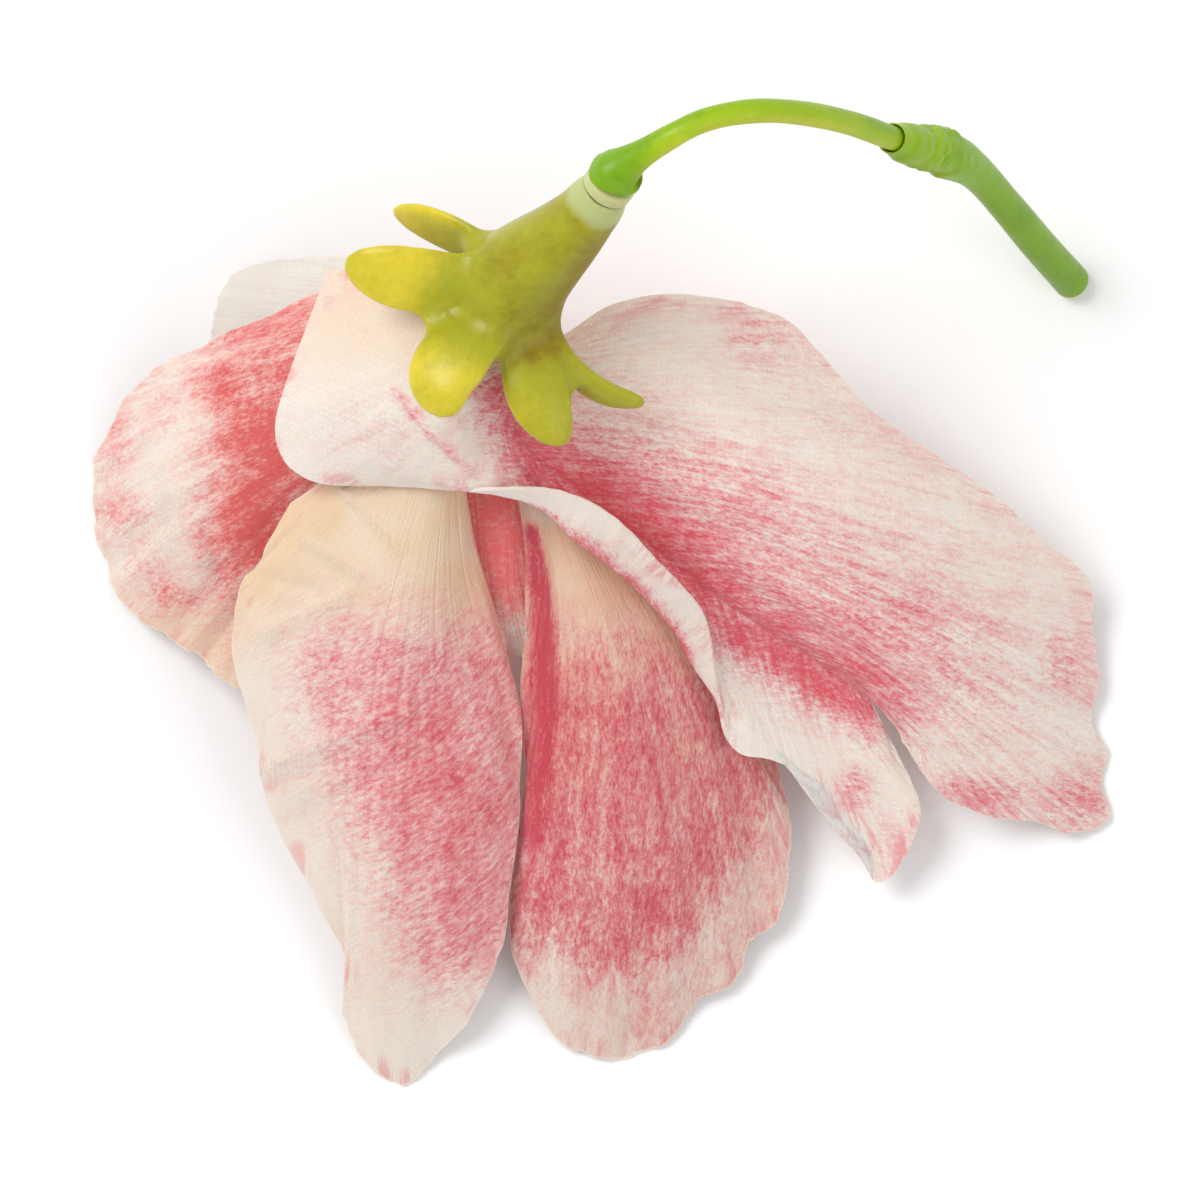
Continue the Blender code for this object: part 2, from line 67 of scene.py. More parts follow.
# The calyx axis runs from its neck down into the flower.
NECK_CENTRE = Vector((0.3, 31.0, 40.2))
AXIS = Vector((-0.448, -0.578, -0.682)).normalized()
SIDE = Vector((-AXIS.y, AXIS.x, 0.0)).normalized()
UP = AXIS.cross(SIDE)
CLAWS_START = NECK_CENTRE + AXIS * 14.9
PEG_RADIUS = 1.25
SHANK_RADIUS = PEG_RADIUS - 0.08  # clear of the sepals' roots
BORE_RADIUS = PEG_RADIUS + GAP + PLAY
CALYX_FILLET = 0.8
VOXEL = 0.2
COLLAR_RADIUS = 1.95
COLLAR_LENGTH = 1.3
SHANK_LENGTH = 22.9
HEAD_RADIUS = 1.95
CLAW_RADIUS = PEG_RADIUS + GAP + 0.5 * CAD_THICKNESS + PLAY

# Calyx lip and tube: distance along the axis, outer radius, shift of its centre to the upper left.
CALYX_LIP = [(-0.14, 1.74, 0.0), (-0.1, 1.87, 0.0)]
CALYX_PROFILE = [(0.0, 1.8, 0.0), (0.4, 2.0, 0.0), (3.0, 2.4, 0.1), (6.8, 3.05, 0.6), (9.0, 3.45, 1.0),
                 (11.5, 3.9, 1.3), (13.4, 4.3, 1.3), (14.2, 4.1, 1.3)]

# Sepals: centre line, direction across the blade, full width, thickness.
SEPALS = [
    ([(-7.6, 24.0, 31.4), (-12.2, 24.3, 32.7), (-16.0, 24.9, 33.0), (-19.2, 25.8, 32.6)],
     (0.10, 0.93, 0.35), 5.3, 1.5),
    ([(-7.0, 25.6, 30.2), (-10.0, 27.5, 29.2), (-12.8, 28.8, 28.0), (-15.6, 29.8, 26.6)],
     (0.22, 0.45, 0.87), 4.6, 1.4),
    ([(-7.4, 22.4, 31.6), (-10.5, 19.5, 33.9), (-11.9, 16.9, 34.7), (-11.6, 14.1, 34.6)],
     (0.90, -0.25, 0.30), 6.0, 1.6),
    ([(-5.4, 21.6, 31.2), (-5.1, 17.9, 32.1), (-4.4, 15.1, 32.0), (-2.7, 12.1, 31.2)],
     (0.96, 0.22, -0.18), 5.1, 1.5),
    ([(-4.4, 21.6, 29.9), (-2.7, 18.3, 29.3), (0.0, 16.1, 28.7), (3.3, 15.2, 28.3)],
     (0.20, 0.25, 0.95), 4.2, 1.5),
]
SEPAL_WIDTHS = [(0.0, 0.86), (0.2, 0.93), (0.45, 1.0), (0.65, 0.94), (0.82, 0.74), (0.93, 0.5), (1.0, 0.2)]

# Pedicel centre line and its radius along the way; it starts at the peg's collar.
PEDICEL_START = NECK_CENTRE - AXIS * (COLLAR_LENGTH + GAP)
PEDICEL_PATH = [PEDICEL_START, NECK_CENTRE - AXIS * 3.1, (5.2, 34.9, 44.5), (8.0, 36.2, 44.4),
                (11.5, 36.85, 43.2), (15.0, 36.8, 40.2), (18.6, 36.2, 35.6), (22.0, 35.15, 30.1),
                (24.45, 34.47, 25.9)]
PEDICEL_RADII = [(0.0, 1.75), (0.03, 1.95), (0.08, 1.95), (0.13, 1.5), (0.18, 1.08), (0.25, 0.95),
                 (0.5, 0.92), (1.0, 0.95)]

# Branch stub: the knuckle closes round the pedicel's end, and the far end is cut square.
STUB_PATH = [(21.9, 35.18, 30.26), (23.6, 34.7, 27.35), (25.8, 34.3, 23.6), (28.4, 33.0, 18.6),
             (31.0, 30.4, 13.0), (33.6, 27.6, 7.2), (36.2, 25.0, 1.27)]
STUB_RADII = [(0.0, 1.22), (0.05, 1.33), (0.08, 1.5), (0.18, 1.6), (0.3, 1.8), (0.37, 1.75), (0.5, 1.4),
              (0.8, 1.38), (1.0, 1.42)]
# The socket in the knuckle's mouth, from its bottom outwards.
SOCKET_RADII = [(0.26, 1.38), (0.15, 1.3), (0.06, 1.2), (0.02, 1.14), (0.0, 1.1)]

# Where the inner points of a rib lie on the way to the rim, as shares of it.
WIDE_HEIGHTS = (0.3, 0.6, 0.82)
LONG_HEIGHTS = (0.25, 0.5, 0.78)

# The banner is built from its midrib outwards: places on the midrib run from 0 at the claw to 1 at
# the notch between its lobes. Each half lists its rim and, at some rim points, a rib's inner points.
MIDRIB = [(0.0, (-7.5, 19.8, 30.9)), (0.2, (-7.2, 16.9, 29.2)), (0.35, (-5.8, 12.2, 24.6)),
          (0.52, (1.3, 6.5, 19.6)), (0.7, (9.5, 0.3, 14.9)), (0.87, (16.0, -3.9, 10.8)),
          (1.0, (20.6, -7.0, 8.4))]
BANNER_LEFT = {
    "heights": WIDE_HEIGHTS,
    "rim": [(-20.6, 25.5, 23.5), (-22.9, 19.1, 21.5), (-24.6, 12.8, 19.5), (-22.3, 9.8, 20.0),
            (-16.3, 9.1, 22.0), (-10.8, 8.8, 24.0), (-6.0, 8.9, 25.8), (-3.1, 8.6, 26.0),
            (-0.4, 7.6, 25.4), (2.1, 5.7, 24.0), (4.2, 3.4, 22.2), (6.2, 1.4, 20.4),
            (7.7, -0.5, 18.4), (8.4, -2.8, 16.2), (8.9, -6.3, 13.4), (10.0, -10.8, 10.5),
            (13.2, -11.8, 9.0), (17.5, -14.3, 6.5), (20.6, -18.6, 4.2), (21.0, -21.1, 3.2),
            (22.7, -20.3, 3.6), (24.4, -16.2, 4.8), (23.7, -13.2, 5.9), (22.0, -10.0, 7.0)],
    "ribs": {
        0: [(-11.0, 22.6, 30.0), (-15.0, 24.2, 27.8), (-18.0, 25.1, 25.8)],
        2: [(-12.2, 18.5, 29.2), (-17.5, 16.1, 26.8), (-21.3, 14.5, 23.6)],
        4: [(-10.3, 15.2, 28.9), (-13.2, 12.2, 26.8), (-15.0, 10.3, 24.6)],
        6: [(-7.4, 12.6, 25.6), (-6.6, 10.0, 24.4), (-5.6, 7.9, 24.0)],
        8: [(-5.0, 9.6, 23.6), (-3.0, 6.9, 22.8), (-1.7, 5.1, 23.0)],
        10: [(-1.0, 6.6, 20.9), (1.0, 3.9, 19.9), (2.4, 1.9, 19.6)],
        12: [(2.8, 3.8, 18.6), (4.6, 0.6, 17.0), (5.8, -1.9, 16.2)],
        14: [(6.4, 0.6, 16.4), (7.4, -3.2, 14.4), (8.0, -5.8, 13.0)],
        16: [(10.3, -3.2, 13.2), (11.4, -7.0, 11.3), (12.4, -9.8, 10.0)],
        19: [(16.0, -8.5, 9.3), (18.3, -14.2, 6.5), (20.0, -18.4, 4.5)],
        21: [(19.4, -8.7, 8.4), (21.6, -12.4, 6.8), (23.2, -14.8, 5.6)],
        23: [(21.0, -7.9, 8.0), (21.4, -8.7, 7.7), (21.7, -9.4, 7.3)],
    },
}
BANNER_RIGHT = {
    "heights": WIDE_HEIGHTS,
    "rim": [(10.6, 23.0, 19.5), (14.0, 21.7, 18.5), (16.3, 19.6, 17.5), (19.0, 16.4, 16.5),
            (21.9, 13.9, 15.0), (27.3, 10.3, 12.0), (31.0, 7.5, 9.5), (34.0, 5.0, 7.0),
            (37.5, 1.8, 4.0), (37.6, -1.4, 2.8), (38.2, -5.0, 2.0), (37.6, -8.4, 1.4),
            (38.9, -11.2, 0.9), (38.4, -13.7, 0.8), (38.8, -16.6, 0.9), (36.5, -17.4, 1.4),
            (33.3, -16.6, 2.8), (29.8, -16.1, 4.2), (26.9, -14.9, 5.6), (24.8, -13.0, 6.9),
            (23.2, -10.4, 8.3)],
    "ribs": {
        0: [(-3.4, 20.2, 25.6), (1.2, 22.9, 23.2), (5.8, 23.6, 21.3)],
        3: [(-0.5, 17.9, 24.2), (7.5, 17.8, 21.8), (13.6, 17.2, 19.2)],
        6: [(2.5, 13.2, 23.2), (13.5, 11.4, 20.3), (22.8, 9.6, 15.6)],
        10: [(9.5, 6.4, 20.3), (20.5, 2.5, 16.3), (30.0, -1.6, 9.2)],
        14: [(16.5, -1.2, 15.5), (25.0, -6.2, 11.6), (32.5, -11.9, 6.0)],
        17: [(19.2, -5.0, 11.6), (23.6, -8.7, 9.8), (27.2, -12.6, 7.0)],
        20: [(21.4, -7.7, 8.8), (22.2, -8.8, 8.8), (22.8, -9.6, 8.6)],
    },
}

# The other petals fan out from a claw on the peg: (mm past the first claws, first and last turn). It
# widens just beyond, at a flare some mm further along.
FLARE_WIDTH = 1.0
FLARE_HEIGHT = 0.06
FAN_PETALS = {
    "left_wing_petal": {
        "claw": (6.2, 156, 124),
        "flare": 0.8,
        "heights": LONG_HEIGHTS,
        "rim": [(-21.2, 23.9, 13.5), (-27.3, 21.2, 10.0), (-32.9, 18.9, 6.5), (-36.6, 15.5, 3.5),
                (-38.8, 11.3, 1.2), (-38.9, 7.8, 0.6), (-38.4, 4.2, 0.8), (-36.9, 0.6, 1.6),
                (-33.5, -2.2, 3.2), (-30.8, -3.9, 4.5), (-28.5, -5.9, 5.5), (-25.5, -6.0, 6.5),
                (-21.5, -2.0, 9.0)],
        "ribs": {
            0: [(-12.6, 22.3, 22.9), (-16.0, 23.6, 18.9), (-18.8, 24.0, 16.0)],
            3: [(-15.5, 20.4, 21.3), (-23.0, 18.6, 16.0), (-30.5, 17.3, 11.0)],
            6: [(-15.5, 17.6, 20.3), (-24.0, 12.8, 15.4), (-32.5, 8.2, 10.5)],
            9: [(-15.3, 15.0, 19.8), (-21.0, 8.0, 14.0), (-26.5, 1.5, 10.0)],
            12: [(-14.4, 14.6, 19.8), (-17.0, 8.8, 14.0), (-19.5, 3.0, 11.0)],
        },
    },
    "back_petal": {
        "claw": (6.6, 210, 174),
        "flare": 0.6,
        "heights": LONG_HEIGHTS,
        "rim": [(-14.5, 26.0, 14.0), (-20.0, 26.7, 9.0), (-25.0, 26.4, 3.5), (-28.2, 25.4, 1.2),
                (-29.6, 22.6, 0.7), (-30.2, 18.0, 0.8), (-29.0, 12.0, 1.6), (-25.5, 8.0, 4.0)],
        "ribs": {
            0: [(-10.6, 23.9, 20.8), (-12.2, 25.0, 17.8), (-13.6, 25.8, 15.8)],
            3: [(-13.6, 22.2, 17.8), (-19.5, 23.8, 12.0), (-25.0, 24.8, 6.0)],
            5: [(-14.0, 20.2, 16.8), (-20.5, 19.5, 11.0), (-27.0, 18.6, 5.0)],
            7: [(-13.6, 17.8, 16.0), (-18.5, 13.2, 11.4), (-22.8, 10.0, 8.0)],
        },
    },
    "lower_left_petal": {
        "claw": (3.3, 120, 86),
        "flare": 0.9,
        "heights": LONG_HEIGHTS,
        "rim": [(-23.6, 7.8, 15.5), (-25.8, 3.6, 14.0), (-27.3, 1.7, 13.2), (-28.1, -3.2, 11.5),
                (-26.5, -9.9, 9.5), (-24.8, -16.6, 7.5), (-21.7, -22.8, 5.5), (-19.5, -27.6, 3.8),
                (-19.6, -32.0, 2.0), (-17.8, -35.2, 1.0), (-15.2, -36.8, 0.6), (-12.6, -34.6, 1.4),
                (-9.6, -30.6, 3.4), (-7.6, -26.0, 5.4), (-6.9, -20.9, 7.2), (-6.2, -14.1, 9.0),
                (-6.3, -8.7, 10.8), (-7.4, -2.6, 12.8), (-9.2, 3.0, 15.0)],
        "ribs": {
            0: [(-13.3, 15.8, 24.3), (-17.6, 12.2, 20.8), (-20.8, 9.7, 17.3)],
            3: [(-13.8, 13.2, 23.5), (-20.0, 6.5, 18.5), (-25.0, 1.0, 14.5)],
            7: [(-13.2, 11.0, 23.0), (-17.6, -2.5, 17.2), (-19.6, -16.5, 10.5)],
            10: [(-12.4, 10.3, 22.8), (-15.4, -5.0, 17.0), (-15.9, -22.5, 9.5)],
            13: [(-11.6, 10.5, 22.8), (-12.4, -3.5, 16.5), (-9.8, -16.5, 11.0)],
            16: [(-10.8, 11.8, 23.2), (-10.3, 3.5, 17.5), (-8.0, -3.5, 13.6)],
            18: [(-10.2, 13.4, 24.2), (-10.4, 9.6, 20.0), (-9.9, 6.2, 16.8)],
        },
    },
    "lower_right_petal": {
        "claw": (3.3, 62, 5),
        "flare": 0.9,
        "heights": LONG_HEIGHTS,
        "rim": [(-5.6, 4.8, 15.5), (-5.4, 2.0, 14.5), (-6.0, -3.6, 12.5), (-6.0, -9.3, 10.0),
                (-5.6, -14.1, 8.0), (-6.9, -22.5, 5.0), (-6.3, -28.0, 3.0), (-3.9, -32.6, 1.6),
                (-0.9, -34.5, 0.8), (2.1, -34.7, 0.6), (4.9, -33.6, 0.8), (7.4, -30.4, 1.4),
                (10.4, -28.6, 1.6), (11.4, -25.6, 2.4), (13.4, -24.6, 2.4), (14.3, -20.3, 3.2),
                (14.4, -16.5, 3.9), (13.6, -12.2, 4.8), (11.5, -6.5, 6.8), (8.0, -1.5, 9.6)],
        "ribs": {
            0: [(-7.7, 13.8, 22.8), (-6.6, 10.0, 19.3), (-5.9, 7.0, 17.0)],
            3: [(-6.6, 12.6, 22.0), (-5.0, 5.5, 17.8), (-4.9, -2.5, 13.5)],
            6: [(-5.4, 11.3, 21.3), (-2.5, -2.0, 16.8), (-4.0, -17.5, 9.3)],
            9: [(-4.6, 10.8, 21.0), (1.0, -4.0, 16.5), (2.6, -21.0, 9.0)],
            12: [(-4.0, 10.8, 20.6), (3.8, -3.5, 14.9), (8.4, -18.0, 7.8)],
            15: [(-3.8, 11.5, 20.6), (4.6, 0.6, 14.4), (11.0, -11.5, 7.4)],
            19: [(-4.8, 13.2, 21.4), (-0.8, 8.4, 17.2), (4.0, 3.0, 13.0)],
        },
    },
    "keel_petal": {
        "claw": (6.9, 235, 305),
        "flare": 0.6,
        "heights": WIDE_HEIGHTS,
        "rim": [(-13.0, 6.0, 13.9), (-12.5, 1.0, 11.9), (-10.3, -2.6, 10.6), (-7.5, -3.9, 10.2),
                (-5.0, -3.2, 10.4), (-3.0, 0.0, 11.4), (-2.6, 4.5, 13.4)],
        "ribs": {
            0: [(-11.6, 14.6, 18.0), (-12.7, 10.6, 16.2), (-13.1, 8.0, 14.8)],
            3: [(-9.2, 12.6, 17.4), (-8.3, 5.6, 15.0), (-7.8, 0.2, 12.3)],
            6: [(-6.4, 14.2, 18.4), (-4.2, 9.6, 16.4), (-3.1, 6.6, 14.6)],
        },
    },
}


def smooth_through(keys, values, at):
    """A smooth curve through the values placed at the keys, read at the positions in at."""
    keys = np.asarray(keys, float)
    values = np.asarray(values, float)
    at = np.asarray(at, float)
    slopes = np.gradient(values, keys, axis=0)
    span = np.clip(np.searchsorted(keys, at, side="right") - 1, 0, len(keys) - 2)
    width = keys[span + 1] - keys[span]
    t = ((at - keys[span]) / width)[:, None]
    width = width[:, None]
    start, end = values[span], values[span + 1]
    rise, fall = slopes[span] * width, slopes[span + 1] * width
    return (start * (2 * t**3 - 3 * t**2 + 1) + rise * (t**3 - 2 * t**2 + t)
            + end * (3 * t**2 - 2 * t**3) + fall * (t**3 - t**2))


def read_table(table, at):
    """The values of (place, value) pairs, read smoothly at other places."""
    return smooth_through([place for place, _ in table], [(value,) for _, value in table], at)[:, 0]


def ease(low, high, value):
    """0 below low, 1 above high and smooth between."""
    t = np.clip((value - low) / (high - low), 0.0, 1.0)
    return t * t * (3 - 2 * t)


def hill(value, width, centre=0.0):
    return np.exp(-((value - centre) / width) ** 2)


def wave(at, strength, *turns):
    """An uneven ripple: sines of several counts and phases."""
    return strength * sum(np.sin(2 * math.pi * (count * at + phase)) for count, phase in turns) / len(turns)


# ---------------- petal surfaces


def claw_arc(along, radius, first_turn, last_turn, count):
    """Points on an arc round the axis, along mm below the calyx base, turns in degrees."""
    centre = CLAWS_START + AXIS * along
    points = []
    for turn in np.radians(np.linspace(first_turn, last_turn, count)):
        points.append(centre + (SIDE * math.cos(turn) + UP * math.sin(turn)) * radius)
    return np.array([tuple(p) for p in points])


def through_ribs(petal, levels, heights, columns, rows):
    """A grid of points from the first levels out to the rim, through the petal's ribs."""
    rim = petal["rim"]
    places = np.linspace(0, len(rim) - 1, columns)
    rib_places = sorted(petal["ribs"])
    for level in range(len(petal["heights"])):
        inside = [petal["ribs"][place][level] for place in rib_places]
        levels.append(smooth_through(rib_places, inside, places))
    levels.append(smooth_through(range(len(rim)), rim, places))
    heights = [*heights, *petal["heights"], 1.0]
    flat = smooth_through(heights, np.array(levels).reshape(len(levels), -1), np.linspace(0, 1, rows))
    return flat.reshape(rows, columns, 3)


def fan_petal(petal, columns, rows):
    along, first_turn, last_turn = petal["claw"]
    claw = claw_arc(along, CLAW_RADIUS, first_turn, last_turn, columns)
    flare = claw_arc(along + petal["flare"], CLAW_RADIUS + FLARE_WIDTH, first_turn, last_turn, columns)
    return through_ribs(petal, [claw, flare], [0.0, FLARE_HEIGHT], columns, rows)


def banner_grid(columns, rows):
    """Both halves of the banner, joined at the midrib."""
    share = np.linspace(0, 1, columns)
    midrib = smooth_through([place for place, _ in MIDRIB], [point for _, point in MIDRIB], share)
    left, right = [through_ribs(half, [midrib], [0.0], columns, rows) for half in (BANNER_LEFT, BANNER_RIGHT)]
    return np.concatenate([left[::-1], right[1:]])


def grid_normals(grid):
    normal = np.cross(np.gradient(grid, axis=0), np.gradient(grid, axis=1))
    return normal / np.linalg.norm(normal, axis=2, keepdims=True)


def distance_to_rim(grid, rim_points):
    """Straight distance in mm from each grid point to the nearest rim point."""
    flat = grid.reshape(-1, 3)
    nearest = np.full(len(flat), 1e9)
    for start in range(0, len(rim_points), 50):
        some = rim_points[start:start + 50]
        nearest = np.minimum(nearest, np.linalg.norm(flat[:, None] - some[None], axis=2).min(axis=1))
    return nearest.reshape(grid.shape[:2])


def upright(place, ahead, beside):
    """The flat sheet turned so that ahead is its second direction, and flipped if beside points back."""
    ahead = ahead / np.linalg.norm(ahead)
    sideways = np.array((ahead[1], -ahead[0]))
    if np.dot(beside, sideways) < 0:
        sideways = -sideways
    return np.stack([place @ sideways, place @ ahead], axis=2)


def grid_quads(rows, columns):
    """Faces over a grid of points that are numbered row by row."""
    firsts = [row * columns + column for row in range(rows - 1) for column in range(columns - 1)]
    return [(a, a + 1, a + columns + 1, a + columns) for a in firsts]


def add_object(name, data):
    thing = bpy.data.objects.new(name, data)
    bpy.context.collection.objects.link(thing)
    return thing


def flatten(grid):
    """The sheet laid flat: for each grid point its place on the uncut cloth in mm, and the cloth's area."""
    rows, columns, _ = grid.shape
    mesh = bpy.data.meshes.new("flat")
    mesh.from_pydata([tuple(p) for p in grid.reshape(-1, 3)], [], grid_quads(rows, columns))
    thing = add_object("flat", mesh)
    bpy.ops.object.select_all(action="DESELECT")
    bpy.context.view_layer.objects.active = thing
    thing.select_set(True)
    mesh.uv_layers.new(name="flat")
    bpy.ops.object.mode_set(mode="EDIT")
    bpy.ops.mesh.select_all(action="SELECT")
    bpy.ops.uv.unwrap(method="ANGLE_BASED", margin=0.0)
    bpy.ops.object.mode_set(mode="OBJECT")
    place = np.zeros((rows * columns, 2))
    flat_area = 0.0
    real_area = 0.0
    layer = mesh.uv_layers["flat"].data
    for polygon in mesh.polygons:
        corners = np.array([layer[i].uv[:] for i in polygon.loop_indices])
        for index, corner in zip(polygon.vertices, corners):
            place[index] = corner
        x, y = corners[:, 0], corners[:, 1]
        flat_area += abs(np.dot(x, np.roll(y, -1)) - np.dot(y, np.roll(x, -1))) / 2
        real_area += polygon.area
    bpy.data.objects.remove(thing, do_unlink=True)
    bpy.data.meshes.remove(mesh)
    return place.reshape(rows, columns, 2) * math.sqrt(real_area / flat_area), real_area


def finer(coarse, rows, columns):
    """A coarse grid of values read at more rows and columns."""
    at_rows = np.linspace(0, coarse.shape[0] - 1, rows)
    at_columns = np.linspace(0, coarse.shape[1] - 1, columns)
    tall = smooth_through(range(coarse.shape[0]), coarse.reshape(coarse.shape[0], -1), at_rows)
    tall = tall.reshape(rows, coarse.shape[1], -1).transpose(1, 0, 2)
    wide = smooth_through(range(coarse.shape[1]), tall.reshape(coarse.shape[1], -1), at_columns)
    return wide.reshape(columns, rows, -1).transpose(1, 0, 2)


def cloth_sheet(name, grid, place, vein, shades, material):
    """A closed thin sheet round a grid, with its flat place, its vein place and its dye as data."""
    rows, columns, _ = grid.shape
    normal = grid_normals(grid)
    count = rows * columns
    upper = (grid + normal * CLOTH_THICKNESS / 2).reshape(-1, 3)
    lower = (grid - normal * CLOTH_THICKNESS / 2).reshape(-1, 3)
    faces = []
    for quad in grid_quads(rows, columns):
        faces += [quad, tuple(count + corner for corner in reversed(quad))]
    number = np.arange(count).reshape(rows, columns)
    border = [*number[0, :-1], *number[:-1, -1], *number[-1, :0:-1], *number[:0:-1, 0]]
    corners = [int(corner) for corner in border]
    for here, there in zip(corners, corners[1:] + corners[:1]):
        faces.append((there, here, count + here, count + there))
    points = np.concatenate([upper, lower])
    thing = new_mesh(name, points, faces, material)
    mesh = thing.data
    corner_points = np.zeros(len(mesh.loops), int)
    mesh.loops.foreach_get("vertex_index", corner_points)
    for layer_name, values in (("cloth", place), ("vein", vein)):
        layer = mesh.uv_layers.new(name=layer_name)
        both = np.concatenate([values.reshape(-1, 2)] * 2)
        layer.data.foreach_set("uv", both[corner_points].astype(np.float32).ravel())
    for shade, values in shades.items():
        store = mesh.attributes.new(shade, "FLOAT", "POINT")
        store.data.foreach_set("value", np.concatenate([values.ravel()] * 2).astype(np.float32))
    return thing


def new_mesh(name, points, faces, material):
    """An object from points in design mm, with its faces turned outwards."""
    mesh = bpy.data.meshes.new(name)
    shifted = (np.array([tuple(p) for p in points]) - np.array(ORIGIN)) * MM
    mesh.from_pydata([tuple(p) for p in shifted], [], faces)
    sheet = bmesh.new()
    sheet.from_mesh(mesh)
    bmesh.ops.recalc_face_normals(sheet, faces=sheet.faces)
    if sheet.calc_volume(signed=True) < 0:
        bmesh.ops.reverse_faces(sheet, faces=sheet.faces)
    sheet.to_mesh(mesh)
    sheet.free()
    mesh.shade_smooth()
    mesh.set_sharp_from_angle(angle=SMOOTH_ANGLE)
    mesh.materials.append(material)
    return add_object(name, mesh)


# ---------------- materials


def socket(tree, target, value):
    """Sets a socket to a number or colour, or links it to another socket."""
    if isinstance(value, bpy.types.NodeSocket):
        tree.links.new(value, target)
    elif isinstance(value, tuple) and target.type == "RGBA":
        target.default_value = (*value, 1.0)
    else:
        target.default_value = value


def add(tree, kind, inputs=None, **settings):
    node = tree.nodes.new(kind)
    for name, value in settings.items():
        setattr(node, name, value)
    for key, value in (inputs or {}).items():
        socket(tree, node.inputs[key], value)
    return node


def maths(tree, operation, first, second=0.0, clamp=False):
    node = add(tree, "ShaderNodeMath", {0: first, 1: second}, operation=operation, use_clamp=clamp)
    return node.outputs[0]


def mixed(tree, factor, first, second):
    """A mix of two colours; a colour given as three numbers is a display colour."""
    node = add(tree, "ShaderNodeMix", {0: factor}, data_type="RGBA")
    for index, colour in ((6, first), (7, second)):
        socket(tree, node.inputs[index], linear(*colour) if isinstance(colour, tuple) else colour)
    return node.outputs[2]


def ramp(tree, value, low, high, to_low=0.0, to_high=1.0):
    node = add(tree, "ShaderNodeMapRange", {0: value, 1: low, 2: high, 3: to_low, 4: to_high},
               interpolation_type="SMOOTHSTEP")
    return node.outputs[0]


def linear(red, green, blue):
    """A display colour as the linear one that a shader takes."""
    return tuple(c / 12.92 if c <= 0.04045 else ((c + 0.055) / 1.055) ** 2.4 for c in (red, green, blue))


def new_material(name, **principled):
    material = bpy.data.materials.new(name)
    material.use_nodes = True
    shader = material.node_tree.nodes["Principled BSDF"]
    for key, value in principled.items():
        socket(material.node_tree, shader.inputs[key.replace("_", " ")], value)
    return material, material.node_tree, shader


def noise_at(tree, vector, scale, detail=2.0, roughness=0.5, stretch=None):
    if stretch is not None:
        vector = add(tree, "ShaderNodeVectorMath", {0: vector, 1: stretch}, operation="MULTIPLY").outputs[0]
    node = add(tree, "ShaderNodeTexNoise", {"Vector": vector, "Scale": scale, "Detail": detail,
                                            "Roughness": roughness})
    return node.outputs[0]


def centred(tree, value, gain):
    return maths(tree, "MULTIPLY", maths(tree, "SUBTRACT", value, 0.5), gain)


def turned(tree, vector, degrees):
    return add(tree, "ShaderNodeVectorRotate", {"Vector": vector, "Angle": math.radians(degrees)},
               rotation_type="Z_AXIS").outputs[0]


